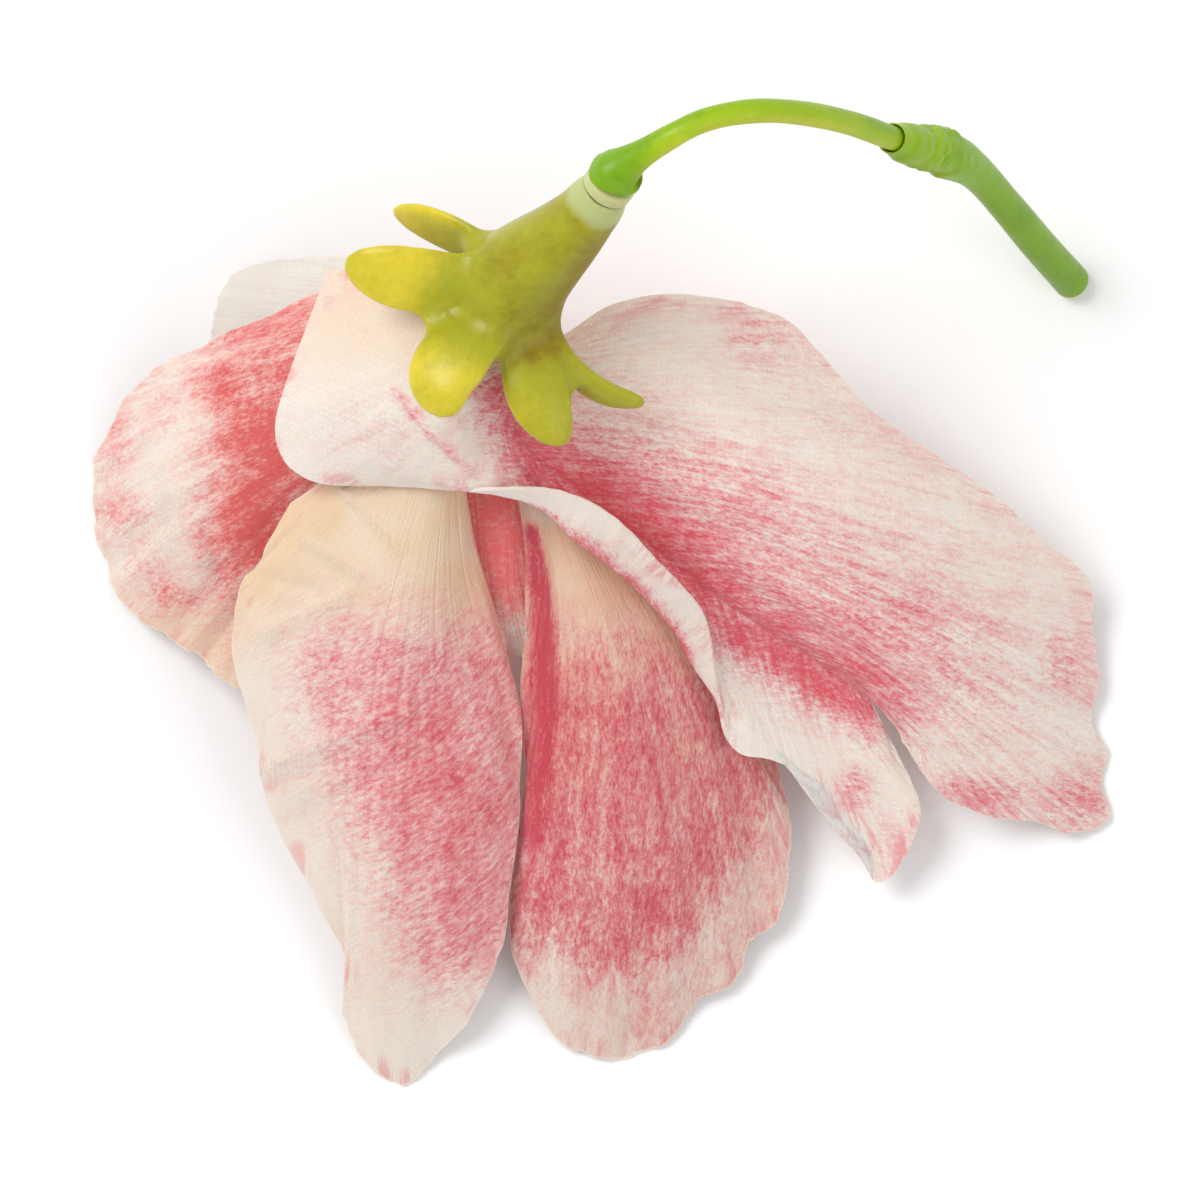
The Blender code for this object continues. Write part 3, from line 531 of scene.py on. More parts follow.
def fabric(name, look):
    """Woven polyester, printed: stippled dye over a cream ground, streaked along the veins at the rim."""
    material, tree, shader = new_material(name, Roughness=0.72, Sheen_Weight=0.15, Sheen_Roughness=0.45,
                                          Specular_IOR_Level=0.25, Subsurface_Weight=0.25,
                                          Subsurface_Scale=0.0015)
    seed = look["seed"]
    cloth = add(tree, "ShaderNodeUVMap", None, uv_map="cloth").outputs[0]
    vein = add(tree, "ShaderNodeUVMap", None, uv_map="vein").outputs[0]
    offset = (seed, seed * 0.7, seed * 1.3)
    veins = add(tree, "ShaderNodeVectorMath", {0: vein, 1: offset}, operation="ADD").outputs[0]
    spots = add(tree, "ShaderNodeVectorMath", {0: cloth, 1: offset}, operation="ADD").outputs[0]
    ink, warm, rim = [add(tree, "ShaderNodeAttribute", None, attribute_name=shade).outputs["Fac"]
                      for shade in ("ink", "warm", "rim")]
    # Dye: clouds, strokes that lean across the veins, specks and streaks along the veins.
    cloud = noise_at(tree, spots, 0.30, 3.0, 0.6)
    stroke = noise_at(tree, turned(tree, spots, look["lean"]), look["fine"], 4.0, 0.7, (0.9, 2.3, 1.0))
    speck = noise_at(tree, turned(tree, spots, look["lean"]), look["fine"], 3.0, 0.8, (1.9, 4.4, 1.0))
    streak = noise_at(tree, veins, 1.0, 3.0, 0.65, (look["streaks"], 6.0, 1.0))
    grain = maths(tree, "ADD", centred(tree, cloud, 0.5), centred(tree, stroke, 0.75))
    grain = maths(tree, "ADD", grain, centred(tree, speck, 1.35))
    grain = maths(tree, "ADD", grain, centred(tree, streak, look["streak_gain"]))
    reach = ramp(tree, ink, 0.0, 0.5, 0.25, 1.0)
    dye = maths(tree, "ADD", ink, maths(tree, "MULTIPLY", grain, reach), clamp=True)
    ground = mixed(tree, warm, look["cream"], look["peach"])
    drift = noise_at(tree, spots, 0.12, 2.0, 0.5)
    ground = mixed(tree, ramp(tree, drift, 0.35, 0.65, 0.0, 0.35), ground, (0.93, 0.90, 0.87))
    colour = mixed(tree, ramp(tree, dye, 0.02, 0.72, 0.0, 0.95), ground, look["pink"])
    colour = mixed(tree, ramp(tree, dye, 0.45, 1.1, 0.0, 0.9), colour, look["deep"])
    # Uneven flecks just inside the cut edge.
    fleck = noise_at(tree, veins, 1.0, 3.0, 0.7, (55.0, 7.0, 1.0))
    patch = noise_at(tree, spots, 0.22, 2.0, 0.5)
    band = maths(tree, "MULTIPLY", ramp(tree, rim, 2.6, 0.3), ramp(tree, patch, 0.44, 0.62))
    fleck = maths(tree, "MULTIPLY", ramp(tree, fleck, 0.42, 0.62), band)
    fleck = maths(tree, "MULTIPLY", fleck, look["flecks"])
    colour = mixed(tree, fleck, colour, look["pink"])
    colour = mixed(tree, ramp(tree, rim, 0.20, 0.05, 0.0, 0.55), colour, (0.93, 0.87, 0.80))
    # Plain weave: threads that pass over and under each other.
    parts = add(tree, "ShaderNodeSeparateXYZ", {0: cloth})
    turn = math.pi / WEAVE_PITCH
    warp = maths(tree, "SINE", maths(tree, "MULTIPLY", parts.outputs[0], turn))
    weft = maths(tree, "SINE", maths(tree, "MULTIPLY", parts.outputs[1], turn))
    over = maths(tree, "MULTIPLY", warp, weft)
    grooves = maths(tree, "MINIMUM", maths(tree, "ABSOLUTE", warp), maths(tree, "ABSOLUTE", weft))
    height = maths(tree, "ADD", maths(tree, "MULTIPLY", over, 0.35), maths(tree, "MULTIPLY", grooves, 0.65))
    # Painted shade: the colour is darkened a little where the weave is low, between the threads.
    shade = ramp(tree, height, -0.3, 0.8, 0.95, 1.02)
    lit = add(tree, "ShaderNodeVectorMath", {0: colour, 3: shade}, operation="SCALE").outputs[0]
    tree.links.new(lit, shader.inputs["Base Color"])
    pleat = noise_at(tree, veins, 1.0, 2.0, 0.5, (30.0, 2.2, 1.0))
    soft = add(tree, "ShaderNodeBump", {"Height": pleat, "Strength": 0.35, "Distance": 0.0004})
    bump = add(tree, "ShaderNodeBump", {"Height": height, "Strength": 0.4, "Distance": 0.00005,
                                        "Normal": soft.outputs[0]})
    tree.links.new(bump.outputs[0], shader.inputs["Normal"])
    tree.links.new(ramp(tree, height, -0.3, 0.8, 0.82, 0.66), shader.inputs["Roughness"])
    return material


def plastic(name, dark, mid, light, spots, clear=0.25, roughness=0.42):
    """Satin moulded plastic: dark over mid to light by the stored tone, and pale where that is stored."""
    material, tree, shader = new_material(name, Roughness=roughness, Coat_Weight=0.12, Coat_Roughness=0.25,
                                          Specular_IOR_Level=0.28, Subsurface_Weight=clear,
                                          Subsurface_Scale=0.0018)
    place = add(tree, "ShaderNodeTexCoord").outputs["Object"]
    tone = add(tree, "ShaderNodeAttribute", None, attribute_name="tone").outputs["Fac"]
    mottle = noise_at(tree, place, spots, 3.0, 0.55)
    fine = noise_at(tree, place, spots * 6.0, 2.0, 0.6)
    factor = maths(tree, "ADD", tone, centred(tree, mottle, 0.6))
    factor = maths(tree, "ADD", factor, centred(tree, fine, 0.25))
    colour = mixed(tree, ramp(tree, factor, 0.0, 0.5), dark, mid)
    colour = mixed(tree, ramp(tree, factor, 0.5, 1.0), colour, light)
    neck = add(tree, "ShaderNodeAttribute", None, attribute_name="pale").outputs["Fac"]
    neck = maths(tree, "ADD", neck, centred(tree, mottle, 0.5))
    colour = mixed(tree, ramp(tree, neck, 0.35, 0.85), colour, (0.71, 0.74, 0.49))
    tree.links.new(colour, shader.inputs["Base Color"])
    grain = noise_at(tree, place, spots * 9.0, 3.0, 0.6)
    bump = add(tree, "ShaderNodeBump", {"Height": grain, "Strength": 0.3, "Distance": 0.00008})
    waves = add(tree, "ShaderNodeBump", {"Height": mottle, "Strength": 0.5, "Distance": 0.0003,
                                         "Normal": bump.outputs[0]})
    tree.links.new(waves.outputs[0], shader.inputs["Normal"])
    tree.links.new(ramp(tree, fine, 0.3, 0.7, roughness - 0.06, roughness + 0.08), shader.inputs["Roughness"])
    return material


# ---------------- petals


PLAIN_LOOK = {
    "pink": (0.885, 0.585, 0.60),
    "deep": (0.79, 0.27, 0.33),
    "cream": (0.91, 0.855, 0.81),
    "peach": (0.90, 0.775, 0.64),
    "lean": 0.0,
    "streaks": 38.0,
    "streak_gain": 0.9,
    "flecks": 0.75,
    "pleats": 0.035,
    "fine": 1.0,
    "creases": (),
}


def near_line(x, y, points):
    """Distance in mm, seen from above, from each point to a line through the given points."""
    nearest = np.full(x.shape, 1e9)
    for (x0, y0), (x1, y1) in zip(points, points[1:]):
        length = (x1 - x0) ** 2 + (y1 - y0) ** 2
        share = np.clip(((x - x0) * (x1 - x0) + (y - y0) * (y1 - y0)) / length, 0, 1)
        nearest = np.minimum(nearest, np.hypot(x - x0 - share * (x1 - x0), y - y0 - share * (y1 - y0)))
    return nearest


def blobs(x, y, *spots):
    """Soft marks, one for each spot: strength, centre and size."""
    return [strength * np.exp(-((x - centre[0]) / size[0]) ** 2 - ((y - centre[1]) / size[1]) ** 2)
            for strength, centre, size in spots]


# Each dye function takes places seen from above, in mm, and the share of the way out to the rim, which is
# negative on the banner's left. It gives how much pink dye and how much peach there is; along the banner's
# crease and the lower right petal's fold the pink also stands in as painted shade.
def banner_dye_and_shade(x, y, out):
    crease = near_line(x, y, [(-7.0, 16.0), (-4.9, 10.0), (-0.3, 7.2), (6.9, 1.6), (10.5, -1.8),
                              (16.1, -5.2), (20.3, -7.4)])
    right_edge = near_line(x, y, [(14.0, 21.7), (19.0, 16.4), (27.3, 10.3), (37.5, 1.8), (38.5, -8.0),
                                  (38.8, -16.6), (29.8, -16.1), (24.8, -13.0)])
    spread = 0.52 * hill(crease, 12.5) * ease(1.0, 9.0, right_edge) + 0.28 * hill(crease, 3.2)
    spread *= 1 - 0.6 * ease(10.0, 19.0, y + 0.2 * x)
    tips = sum(blobs(x, y, (0.40, (28.5, -14.6), (4.0, 1.6)), (0.35, (36.5, -15.0), (2.6, 2.4)),
                     (0.28, (35.5, -4.5), (2.5, 2.0)), (0.20, (12.0, 20.5), (3.0, 2.0))))
    right = 0.07 + np.maximum(spread, tips) + 0.13 * ease(0.0, 6.0, x) * ease(9.0, 2.0, right_edge)
    fold = near_line(x, y, [(-15.4, 16.2), (-13.0, 13.2), (-9.8, 10.2)])
    flap = 0.02 + sum(blobs(x, y, (0.14, (-15.5, 13.0), (6.0, 3.2)))) + 0.26 * hill(fold, 0.4)
    flap += 0.16 * ease(1.5, 4.5, x + y) * ease(9.0, 13.0, y) * ease(18.0, 15.0, y)
    # Deep pink along the crease on the left half: partly the petal's own dye, partly painted shade in the
    # crease's valley.
    crease_dye_and_shade = 0.54 * hill(crease, 2.0) + 0.28 * hill(crease, 4.6)
    crease_dye_and_shade *= 1 - ease(0.84, 0.9, np.abs(out))
    lip = 0.75 * hill(np.abs(out), 0.085, 0.79) * ease(-5.0, -1.0, x) * ease(9.0, 6.0, x)
    lobe = sum(blobs(x, y, (0.45, (19.4, -14.0), (1.6, 2.0)), (0.25, (22.8, -18.0), (2.0, 3.0))))
    left = np.maximum.reduce([flap * ease(1.0, -4.0, x), crease_dye_and_shade, lip, lobe]) + 0.05
    warm = 0.45 * ease(14.0, 22.0, y) * ease(4.0, -6.0, x) + 0.12
    return np.where(out > 0, right, left), warm


def left_wing_dye(x, y, out):
    heart = np.maximum.reduce(blobs(
        x, y, (0.95, (-25.0, 12.5), (6.0, 6.5)), (1.0, (-26.4, 6.5), (4.6, 7.5)),
        (0.75, (-24.6, 21.5), (6.8, 4.4)), (0.85, (-28.8, 16.6), (3.8, 3.0)),
        (0.72, (-24.0, 17.5), (5.5, 4.0))))
    heart *= ease(-35.0, -28.5, x)
    edge = sum(blobs(x, y, (0.42, (-37.4, 12.8), (1.5, 3.2)), (0.40, (-36.8, 7.0), (2.6, 1.7)),
                     (0.38, (-32.6, 0.6), (2.6, 1.8)), (0.22, (-35.0, 3.5), (2.4, 2.0)),
                     (0.26, (-33.5, 15.2), (2.0, 2.2))))
    return 0.15 + np.maximum(0.86 * heart, edge), 0.15 + 0.7 * ease(4.0, -3.0, y)


def back_dye(x, y, out):
    return np.full(x.shape, 0.03), np.full(x.shape, 0.2)


def lower_left_dye(x, y, out):
    left_edge = near_line(x, y, [(-25.8, 3.6), (-28.1, -3.2), (-26.5, -9.9), (-24.8, -16.6), (-21.7, -22.6),
                                 (-20.0, -28.0)])
    body = 0.46 * ease(5.0, -5.0, y) * ease(-34.0, -25.5, y) * ease(0.0, 8.0, left_edge)
    core = sum(blobs(x, y, (0.20, (-10.8, -15.5), (4.5, 10.0)), (0.12, (-15.5, -11.0), (4.0, 5.0))))
    wash = 0.20 * ease(5.0, -4.0, y) * ease(0.0, 4.0, left_edge) * ease(-35.0, -27.0, y)
    return 0.05 + np.maximum(body + core, wash), 1.1 * ease(-7.0, 4.0, y) + 0.1


def lower_right_dye_and_shade(x, y, out):
    # The strip along the curled left edge: deep pink, partly the petal's own dye and partly painted shade of
    # the fold.
    strip = near_line(x, y, [(-5.3, 5.9), (-4.5, 0.2), (-4.1, -6.0), (-4.7, -11.8), (-5.0, -18.0)])
    thick = 0.55 + 0.9 * ease(6.0, -6.0, y) + 0.9 * ease(-8.0, -16.0, y)
    fold = 1.15 * hill(strip, thick) * ease(8.5, 5.0, y) * (1 - 0.25 * ease(-8.0, -16.0, y))
    fold *= ease(-24.0, -17.0, y)
    lower_edge = near_line(x, y, [(16.5, -18.0), (14.0, -23.0), (10.4, -28.6), (4.9, -33.6), (-0.9, -34.5),
                                  (-5.0, -31.0)])
    body = 0.47 * ease(3.5, -9.0, y) * ease(1.0, 8.0, lower_edge) + 0.12 * ease(3.0, -3.0, y)
    veins = sum(blobs(x, y, (0.35, (-1.5, -25.0), (3.5, 4.5)), (0.62, (-3.9, -16.5), (2.3, 6.0))))
    top = 0.25 * ease(9.0, 2.0, y) * ease(-1.0, 3.5, x)
    return 0.06 + np.maximum.reduce([fold, body, veins, top]), 0.9 * ease(-20.0, -6.0, y) + 0.2


def keel_dye(x, y, out):
    return 0.85 * ease(-5.0, 2.5, y) * ease(-2.5, -4.5, x) + 0.05, np.full(x.shape, 0.1)


def cloth_look(cloth, slot, seed, dye, ruffle, **changes):
    return dict(PLAIN_LOOK, cloth=cloth, slot=slot, seed=seed, dye=dye, ruffle=ruffle, **changes)


# Creases: start and end seen from above, width and height in mm.
PETAL_LOOKS = {
    "banner_petal": cloth_look(
        "banner_cloth", "banner_fabric", 1.3, banner_dye_and_shade, 0.26, deep=(0.83, 0.27, 0.34),
        cream=(0.93, 0.885, 0.85), lean=-58.0, streaks=30.0, streak_gain=1.1,
        creases=[((-15.4, 16.2), (-9.8, 10.2), 0.4, -0.30), ((-14.0, 19.0), (-9.0, 12.6), 0.8, 0.18),
                 ((4.0, 8.0), (24.0, -1.0), 1.3, 0.30), ((2.0, 11.0), (26.0, 4.0), 1.8, -0.25),
                 ((10.0, 1.5), (27.0, -8.0), 1.0, 0.28), ((8.0, 2.0), (20.0, -5.0), 0.6, -0.25)]),
    "left_wing_petal": cloth_look(
        "left_wing_cloth", "wing_fabric", 4.1, left_wing_dye, 0.30, pink=(0.90, 0.62, 0.60),
        deep=(0.83, 0.30, 0.29), lean=82.0, streak_gain=0.8,
        creases=[((-34.5, 14.0), (-30.5, 4.0), 0.9, 0.3), ((-30.0, 19.0), (-29.5, 3.0), 0.8, -0.2)]),
    "back_petal": cloth_look(
        "back_cloth", "cream_fabric", 7.7, back_dye, 0.10, cream=(0.845, 0.84, 0.82), flecks=0.15,
        pleats=0.01),
    "lower_left_petal": cloth_look(
        "lower_left_cloth", "petal_fabric", 10.9, lower_left_dye, 0.28, pink=(0.885, 0.60, 0.60),
        deep=(0.80, 0.26, 0.34), lean=38.0, streak_gain=0.45, fine=0.72,
        creases=[((-19.6, 8.9), (-14.9, 4.4), 0.25, 0.34), ((-22.5, 5.0), (-18.0, 2.4), 0.4, 0.26),
                 ((-26.5, 2.5), (-21.5, 1.2), 0.5, -0.18), ((-25.5, -2.0), (-19.0, 1.0), 0.6, 0.32),
                 ((-25.5, -12.5), (-15.0, -8.0), 0.7, 0.42), ((-24.0, -16.5), (-14.0, -11.5), 0.7, -0.25)]),
    # The lower right petal's cream and peach are set darker than the other petals': painted shade from the
    # banner that lies over it.
    "lower_right_petal": cloth_look(
        "lower_right_cloth", "petal_fabric", 13.2, lower_right_dye_and_shade, 0.30, pink=(0.85, 0.52, 0.52),
        deep=(0.76, 0.20, 0.30), cream=(0.885, 0.82, 0.77), peach=(0.87, 0.72, 0.60), lean=72.0,
        streak_gain=0.8, fine=0.85,
        creases=[((-4.2, 6.0), (-4.4, -20.0), 0.7, -0.35), ((-3.4, -8.0), (2.0, -33.0), 0.9, -0.25),
                 ((0.0, -4.0), (8.0, -28.0), 1.2, 0.25)]),
    # The keel petal's cream, pink and deep are set brighter than the other petals': painted light that lifts
    # the strip between the lower petals out of its shadow.
    "keel_petal": cloth_look(
        "keel_cloth", "petal_fabric", 16.6, keel_dye, 0.12, cream=(1.0, 0.96, 0.92),
        pink=(1.0, 0.66, 0.64), deep=(1.0, 0.45, 0.46)),
}


def shaped(grid, out, across, look):
    """Ripples and small scallops that grow towards the rim, faint pleats and a few set creases."""
    normal = grid_normals(grid)
    seed = look["seed"]
    x, y = grid[..., 0], grid[..., 1]
    grow = ease(0.45, 1.0, out) ** 1.5
    if look["cloth"] == "banner_cloth":  # calm near its rolled edge
        grow = grow * (1 - 0.85 * ease(-14.0, -8.0, x) * ease(11.0, 8.0, x) * ease(-14.0, -9.0, y))
    ripple = wave(across, look["ruffle"], (5, seed), (8, 0.37 * seed), (13, 0.71 * seed)) * grow
    pleats = wave(across, look["pleats"], (31, seed), (43, 0.5 * seed), (57, 0.3 * seed))
    lift = ripple + pleats * ease(0.05, 0.4, out)
    for start, end, width, height in look["creases"]:
        lift = lift + height * hill(near_line(x, y, [start, end]), width)
    outward = np.gradient(grid, axis=0)
    outward /= np.linalg.norm(outward, axis=2, keepdims=True)
    notch = (wave(across, 0.22, (13, seed), (23, 0.4 * seed), (41, 0.6 * seed)) * ease(0.86, 1.0, out)
             * ease(0.0, 0.06, across) * ease(1.0, 0.94, across))
    if look["cloth"] == "banner_cloth":
        tips = 0.15 + 0.85 * ease(22.0, 34.0, x)
        notch = notch * np.sign(np.linspace(-1, 1, len(grid)))[:, None] * np.clip(grow * 4, 0, 1) * tips
    grid = grid + normal * lift[..., None] + outward * notch[..., None]
    grid[..., 2] = np.maximum(grid[..., 2], ORIGIN[2] + CLOTH_THICKNESS / 2 + FLOOR_CLEARANCE)
    return grid


def finish_piece(thing, node):
    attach(thing, "root")
    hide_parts(node)


def make_petal(node):
    look = PETAL_LOOKS[node]
    banner = node == "banner_petal"
    if banner:
        rows, columns, innermost, vein_spread = 153, 280, -1, 2.4
        coarse = banner_grid(61, 12)
        grid = banner_grid(columns, (rows + 1) // 2)
        rim_points = np.concatenate([grid[0], grid[-1], grid[:, 0][::2], grid[:, -1]])[::2]
    else:
        rows, columns, innermost, vein_spread = 120, 160, 0, 1.0
        coarse = fan_petal(FAN_PETALS[node], 31, 19)
        grid = fan_petal(FAN_PETALS[node], columns, rows)
        rim_points = np.concatenate([grid[-1], grid[rows // 5:, 0], grid[rows // 5:, -1]])
    across, out = np.meshgrid(np.linspace(0, 1, columns), np.linspace(innermost, 1, rows))
    vein = np.stack([across * vein_spread, out], axis=2)
    place, area = flatten(coarse)
    over_rows = place[-1].mean(axis=0) - place[0].mean(axis=0)
    over_columns = place[:, -1].mean(axis=0) - place[:, 0].mean(axis=0)
    ahead, beside = (over_columns, over_rows) if banner else (over_rows, over_columns)
    place = upright(place, ahead, beside)
    ink, warm = look["dye"](grid[..., 0], grid[..., 1], out)
    rim = distance_to_rim(grid, rim_points)
    shades = {"ink": np.clip(ink, 0, 1), "warm": np.clip(warm, 0, 1), "rim": rim}
    grid = shaped(grid, np.abs(out), across, look)
    petal = cloth_sheet(look["cloth"], grid, finer(place, rows, columns), vein, shades,
                        fabric(look["cloth"], look))
    finish_piece(petal, node)


# ---------------- moulded pieces


def rings_to_faces(ring_count, sides, first=0, capped=True):
    """Faces between rings of points, numbered from first, with a cap at both ends."""
    faces = []
    for ring in range(ring_count - 1):
        low = first + ring * sides
        high = low + sides
        for side in range(sides):
            after = (side + 1) % sides
            faces.append((low + side, low + after, high + after, high + side))
    if capped:
        faces.append(tuple(first + side for side in reversed(range(sides))))
        faces.append(tuple(first + (ring_count - 1) * sides + side for side in range(sides)))
    return faces


def turned_on_axis(profile, sides, shape=None):
    """Rings round the axis; profile is (distance from the neck, radius, shift of the centre)."""
    points = []
    for distance, radius, shift in profile:
        for side in range(sides):
            turn = 2 * math.pi * side / sides
            spoke = SIDE * math.cos(turn) + UP * math.sin(turn)
            swell = shape(distance, turn) if shape else 1.0
            points.append(NECK_CENTRE + AXIS * distance - SIDE * shift + spoke * radius * swell)
    return points


def along_path(path, place):
    """A point on a smooth path, at a share of its way, and the path's direction there."""
    keys = np.linspace(0.0, 1.0, len(path))
    centre, ahead, behind = smooth_through(keys, path, [place, place + 0.01, place - 0.01])
    return Vector(centre), Vector(ahead - behind).normalized()


def swept_rings(path, stations, sides, shape):
    """Rings along a path; stations are (place, radius)."""
    points = []
    across = None
    for place, radius in stations:
        centre, forward = along_path(path, place)
        across = across or forward.orthogonal()
        across = (across - forward * forward.dot(across)).normalized()
        upward = forward.cross(across)
        for side in range(sides):
            turn = 2 * math.pi * side / sides
            spoke = across * math.cos(turn) + upward * math.sin(turn)
            points.append(centre + spoke * radius * shape(place, turn))
    return points


def set_tone(thing, value_at, name="tone"):
    """Stores how light, or how pale, each point is, from its place in design mm."""
    mesh = thing.data
    store = mesh.attributes.new(name, "FLOAT", "POINT")
    back = Vector(ORIGIN)
    store.data.foreach_set("value", [float(value_at(v.co / MM + back)) for v in mesh.vertices])


def apply_modifiers(thing):
    graph = bpy.context.evaluated_depsgraph_get()
    made = bpy.data.meshes.new_from_object(thing.evaluated_get(graph))
    thing.modifiers.clear()
    old = thing.data
    thing.data = made
    bpy.data.meshes.remove(old)


def calyx_swell(distance, turn):
    """Five shallow ribs on the tube that run down to the sepals."""
    return 1.0 + 0.03 * math.cos(5 * turn - 0.8) * min(1.0, max(0.0, distance) / 9.0)


def make_calyx():
    table = np.array(CALYX_PROFILE)
    length = table[-1, 0]
    at = np.linspace(0.0, length, 40)
    outside = np.column_stack([at, smooth_through(table[:, 0], table[:, 1:], at)])
    profile = [*CALYX_LIP, *outside[1:], (length, BORE_RADIUS, 0.0), (CALYX_LIP[0][0], BORE_RADIUS, 0.0)]
    sides = 60
    points = turned_on_axis(profile, sides, calyx_swell)
    faces = rings_to_faces(len(profile), sides, capped=False)
    last = (len(profile) - 1) * sides
    faces += [(last + s, last + (s + 1) % sides, (s + 1) % sides, s) for s in range(sides)]
    places = np.concatenate([np.linspace(0, 0.9, 24), np.linspace(0.91, 1.0, 10)])
    swells = read_table(SEPAL_WIDTHS, places)
    blade_sides = 32
    for path, across, width, thickness in SEPALS:
        first = len(points)
        blade = Vector(across).normalized()
        for place, swell in zip(places, swells):
            centre, forward = along_path(path, place)
            wide = (blade - forward * forward.dot(blade)).normalized()
            thick = forward.cross(wide)
            for side in range(blade_sides):
                turn = 2 * math.pi * side / blade_sides
                cup = -0.10 * thickness * math.cos(turn) ** 2
                points.append(centre + wide * math.cos(turn) * width / 2 * swell
                              + thick * (math.sin(turn) * thickness / 2 * min(1.0, swell + 0.2) + cup))
        faces += rings_to_faces(len(places), blade_sides, first)
    # The dark brown also serves as painted shade on the lower right side of the tube and the sepals.
    material = plastic("calyx_plastic", (0.52, 0.43, 0.0), (0.655, 0.65, 0.13), (0.86, 0.79, 0.20), 260.0,
                       roughness=0.36)
    calyx = new_mesh("calyx_shell", points, faces, material)
    # Fusing, swelling, fusing again and shrinking leaves a fillet where the sepals leave the tube.
    for name, offset in (("fuse", CALYX_FILLET), ("fillet", -CALYX_FILLET)):
        fuse = calyx.modifiers.new(name, "REMESH")
        fuse.mode = "VOXEL"
        fuse.voxel_size = VOXEL * MM
        move = calyx.modifiers.new(name + "_offset", "DISPLACE")
        move.mid_level = 0.0
        move.strength = offset * MM
    soften = calyx.modifiers.new("soften", "SMOOTH")
    soften.factor = 0.6
    soften.iterations = 28
    apply_modifiers(calyx)
    calyx.data.shade_smooth()

    def lightness(point):
        from_neck = point - NECK_CENTRE
        away = (from_neck - AXIS * from_neck.dot(AXIS)).length
        aside = from_neck.dot(SIDE)
        # Darker brown towards SIDE, the lower right that is turned from the key lamp, on the tube and on the
        # sepals: painted shade. The sepals' lighter tips are their own colour.
        tube = 0.34 - 0.20 * float(ease(0.4, 3.2, aside) * ease(6.5, 4.0, away))
        blades = 0.46 * float(ease(4.0, 9.5, away)) * (1 - 0.55 * float(ease(1.0, 7.0, aside)))
        return tube + blades

    set_tone(calyx, lightness)
    set_tone(calyx, lambda point: float(ease(3.8, 0.0, (point - NECK_CENTRE).dot(AXIS))), "pale")
    finish_piece(calyx, "calyx")


def make_peg():
    # Rounded edges: distance along the axis, or past the shank, and change of radius.
    collar = [(-COLLAR_LENGTH, -0.3), (-COLLAR_LENGTH + 0.12, -0.1), (-COLLAR_LENGTH + 0.3, 0.0),
              (-0.75, -0.04), (-GAP - 0.14, 0.0), (-GAP - 0.03, -0.05), (-GAP + 0.02, -0.25)]
    head = [(0.1, -0.25), (0.3, -0.05), (0.55, 0.0), (0.9, -0.15), (1.15, -0.5), (1.3, -1.1)]
    profile = [(distance, COLLAR_RADIUS + change, 0.0) for distance, change in collar]
    profile += [(collar[-1][0], SHANK_RADIUS, 0.0), (SHANK_LENGTH, SHANK_RADIUS, 0.0)]
    profile += [(SHANK_LENGTH + distance, HEAD_RADIUS + change, 0.0) for distance, change in head]
    sides = 48
    material = plastic("peg_plastic", (0.60, 0.64, 0.36), (0.76, 0.78, 0.55), (0.84, 0.85, 0.70), 420.0,
                       clear=0.5)
    peg = new_mesh("peg_post", turned_on_axis(profile, sides), rings_to_faces(len(profile), sides), material)
    set_tone(peg, lambda point: 0.5)
    finish_piece(peg, "peg")


def make_pedicel():
    places = np.concatenate([np.linspace(0.0, 0.3, 80), np.linspace(0.306, 1.0, 110)])
    sides = 30

    def shape(place, turn):
        bulb = float(ease(0.17, 0.10, place))
        lump = noise.noise(Vector((place * 26, math.cos(turn) * 1.1, math.sin(turn) * 1.1 + 4.0)))
        return 1.0 + 0.10 * bulb * lump + 0.02 * math.sin(3 * turn + 9 * place) + 0.012 * math.sin(41 * place)

    points = swept_rings(PEDICEL_PATH, zip(places, read_table(PEDICEL_RADII, places)), sides, shape)
    material = plastic("pedicel_plastic", (0.45, 0.64, 0.01), (0.62, 0.74, 0.06), (0.78, 0.80, 0.17), 240.0,
                       clear=0.15)
    pedicel = new_mesh("pedicel_stalk", points, rings_to_faces(len(places), sides), material)

    def lightness(point):
        bulb = float(ease(4.8, 2.6, point.x))
        middle = np.interp(point.x, [x for x, _, _ in PEDICEL_PATH], [y for _, y, _ in PEDICEL_PATH])
        under = float(ease(0.8, -0.9, point.y - middle)) - 0.5
        return 0.52 - 0.4 * bulb - 0.1 * float(ease(17.0, 24.0, point.x)) + 0.5 * under * (1 - bulb)

    set_tone(pedicel, lightness)
    finish_piece(pedicel, "pedicel")


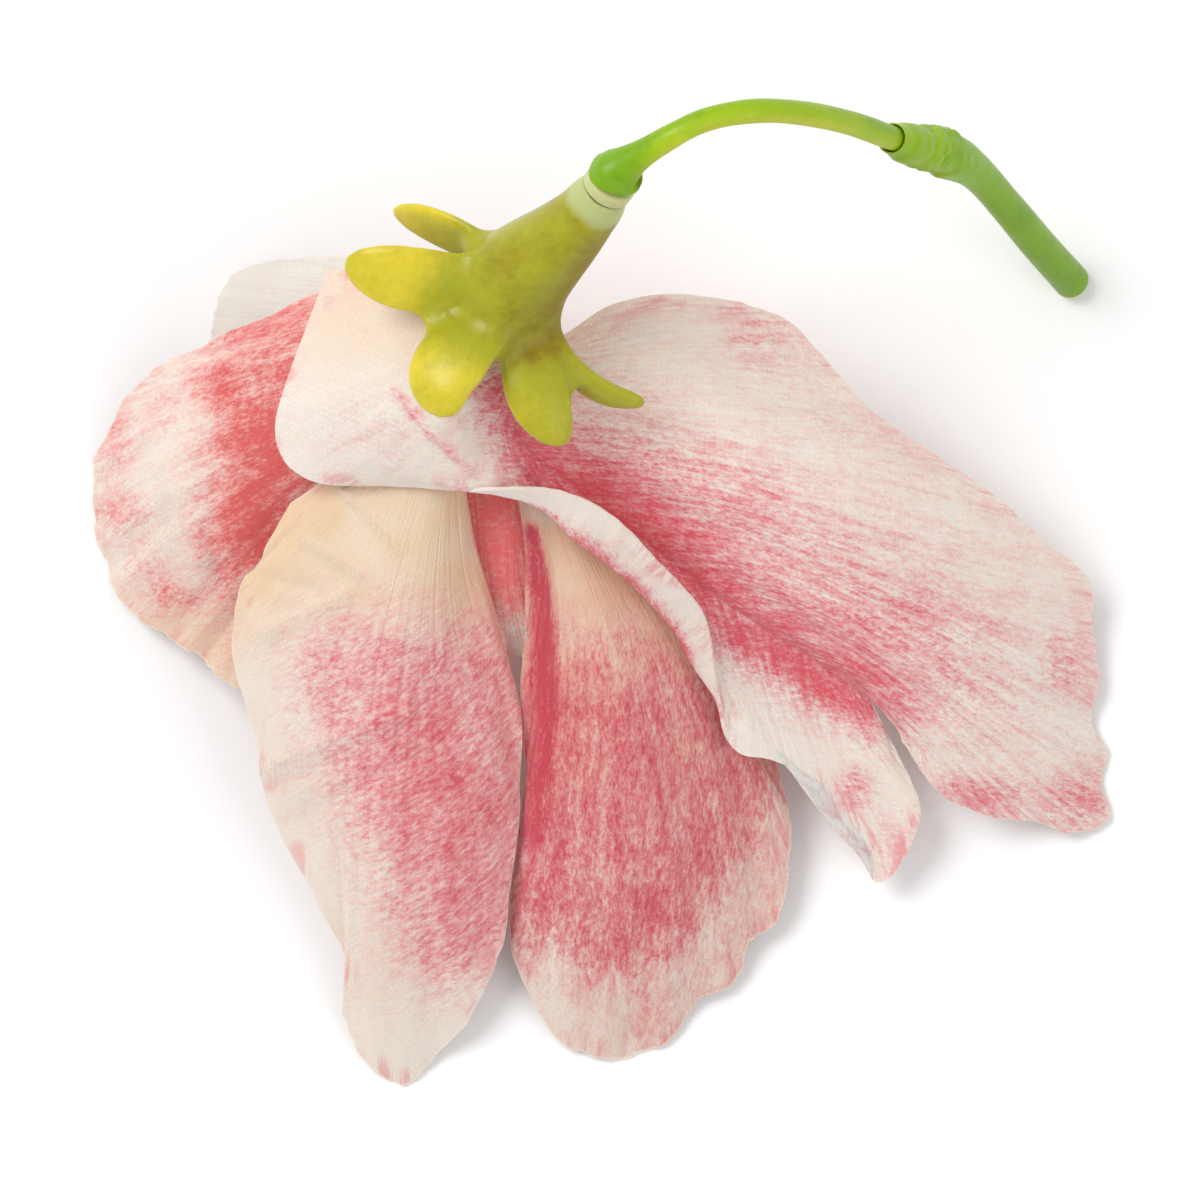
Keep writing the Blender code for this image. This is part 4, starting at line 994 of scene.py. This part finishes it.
def make_stub():
    """The visible knuckle closes round the pedicel, with the rough flash of the weld round it."""
    places = np.linspace(0.0, 1.0, 150)
    stations = [*SOCKET_RADII, *zip(places, read_table(STUB_RADII, places))]
    sides = 40

    def shape(place, turn):
        rough = math.exp(-((place - 0.27) / 0.13) ** 2)
        spot = noise.noise(Vector((place * 34, math.cos(turn) * 1.7, math.sin(turn) * 1.7)))
        fine = noise.noise(Vector((place * 90, math.cos(turn) * 3.7, math.sin(turn) * 3.7)))
        return 1.0 + rough * (0.18 * spot + 0.09 * fine) + 0.02 * math.sin(2 * turn + 5 * place)

    points = swept_rings(STUB_PATH, stations, sides, shape)
    material = plastic("stub_plastic", (0.36, 0.54, 0.0), (0.50, 0.67, 0.04), (0.66, 0.77, 0.14), 220.0,
                       clear=0.12)
    stub = new_mesh("branch_stub_end", points, rings_to_faces(len(stations), sides), material)
    set_tone(stub, lambda point: 0.66 - 0.34 * float(ease(25.0, 33.0, point.x)))
    finish_piece(stub, "branch_stub")


# ---------------- stage


def make_stage():
    half = 3.0
    corners = [(-half, -half, 0), (half, -half, 0), (half, half, 0), (-half, half, 0)]
    mesh = bpy.data.meshes.new("floor")
    mesh.from_pydata(corners, [], [(0, 1, 2, 3)])
    mesh.materials.append(new_material("floor", Roughness=0.9, Base_Color=(0.97, 0.97, 0.97))[0])
    add_object("floor", mesh)


def area_light(name, place, target, size, power):
    data = bpy.data.lights.new(name, "AREA")
    data.shape = "DISK"
    data.size = size
    data.energy = power
    lamp = add_object(name, data)
    lamp.location = place
    lamp.rotation_euler = (target - lamp.location).to_track_quat("-Z", "Y").to_euler()


def make_lights_and_camera():
    """White all round, two soft lamps and a camera that looks straight down. Lengths here are in metres."""
    world = bpy.data.worlds.new("studio")
    world.use_nodes = True
    background = world.node_tree.nodes["Background"]
    background.inputs["Color"].default_value = (1.0, 1.0, 1.0, 1.0)
    background.inputs["Strength"].default_value = 0.62
    scene = bpy.context.scene
    scene.world = world
    middle = (cad_low + cad_high) / 2
    area_light("key", (-0.45, 0.35, 0.75), middle, 0.5, 5.0)
    area_light("fill", (0.6, -0.3, 0.6), middle, 0.7, 1.6)
    data = bpy.data.cameras.new("camera")
    data.sensor_width = 36.0
    height = 1.3
    margin = 1.16
    widest = max(cad_high.x - cad_low.x, cad_high.y - cad_low.y) * margin
    data.lens = data.sensor_width * (height - cad_high.z / 2) / widest
    data.clip_end = 20.0
    camera = add_object("camera", data)
    camera.location = (middle.x, middle.y, height)
    scene.camera = camera
    scene.view_settings.view_transform = "Standard"
    scene.view_settings.look = "None"


for petal_node in PETAL_LOOKS:
    make_petal(petal_node)
make_calyx()
make_peg()
make_pedicel()
make_stub()
make_stage()
make_lights_and_camera()
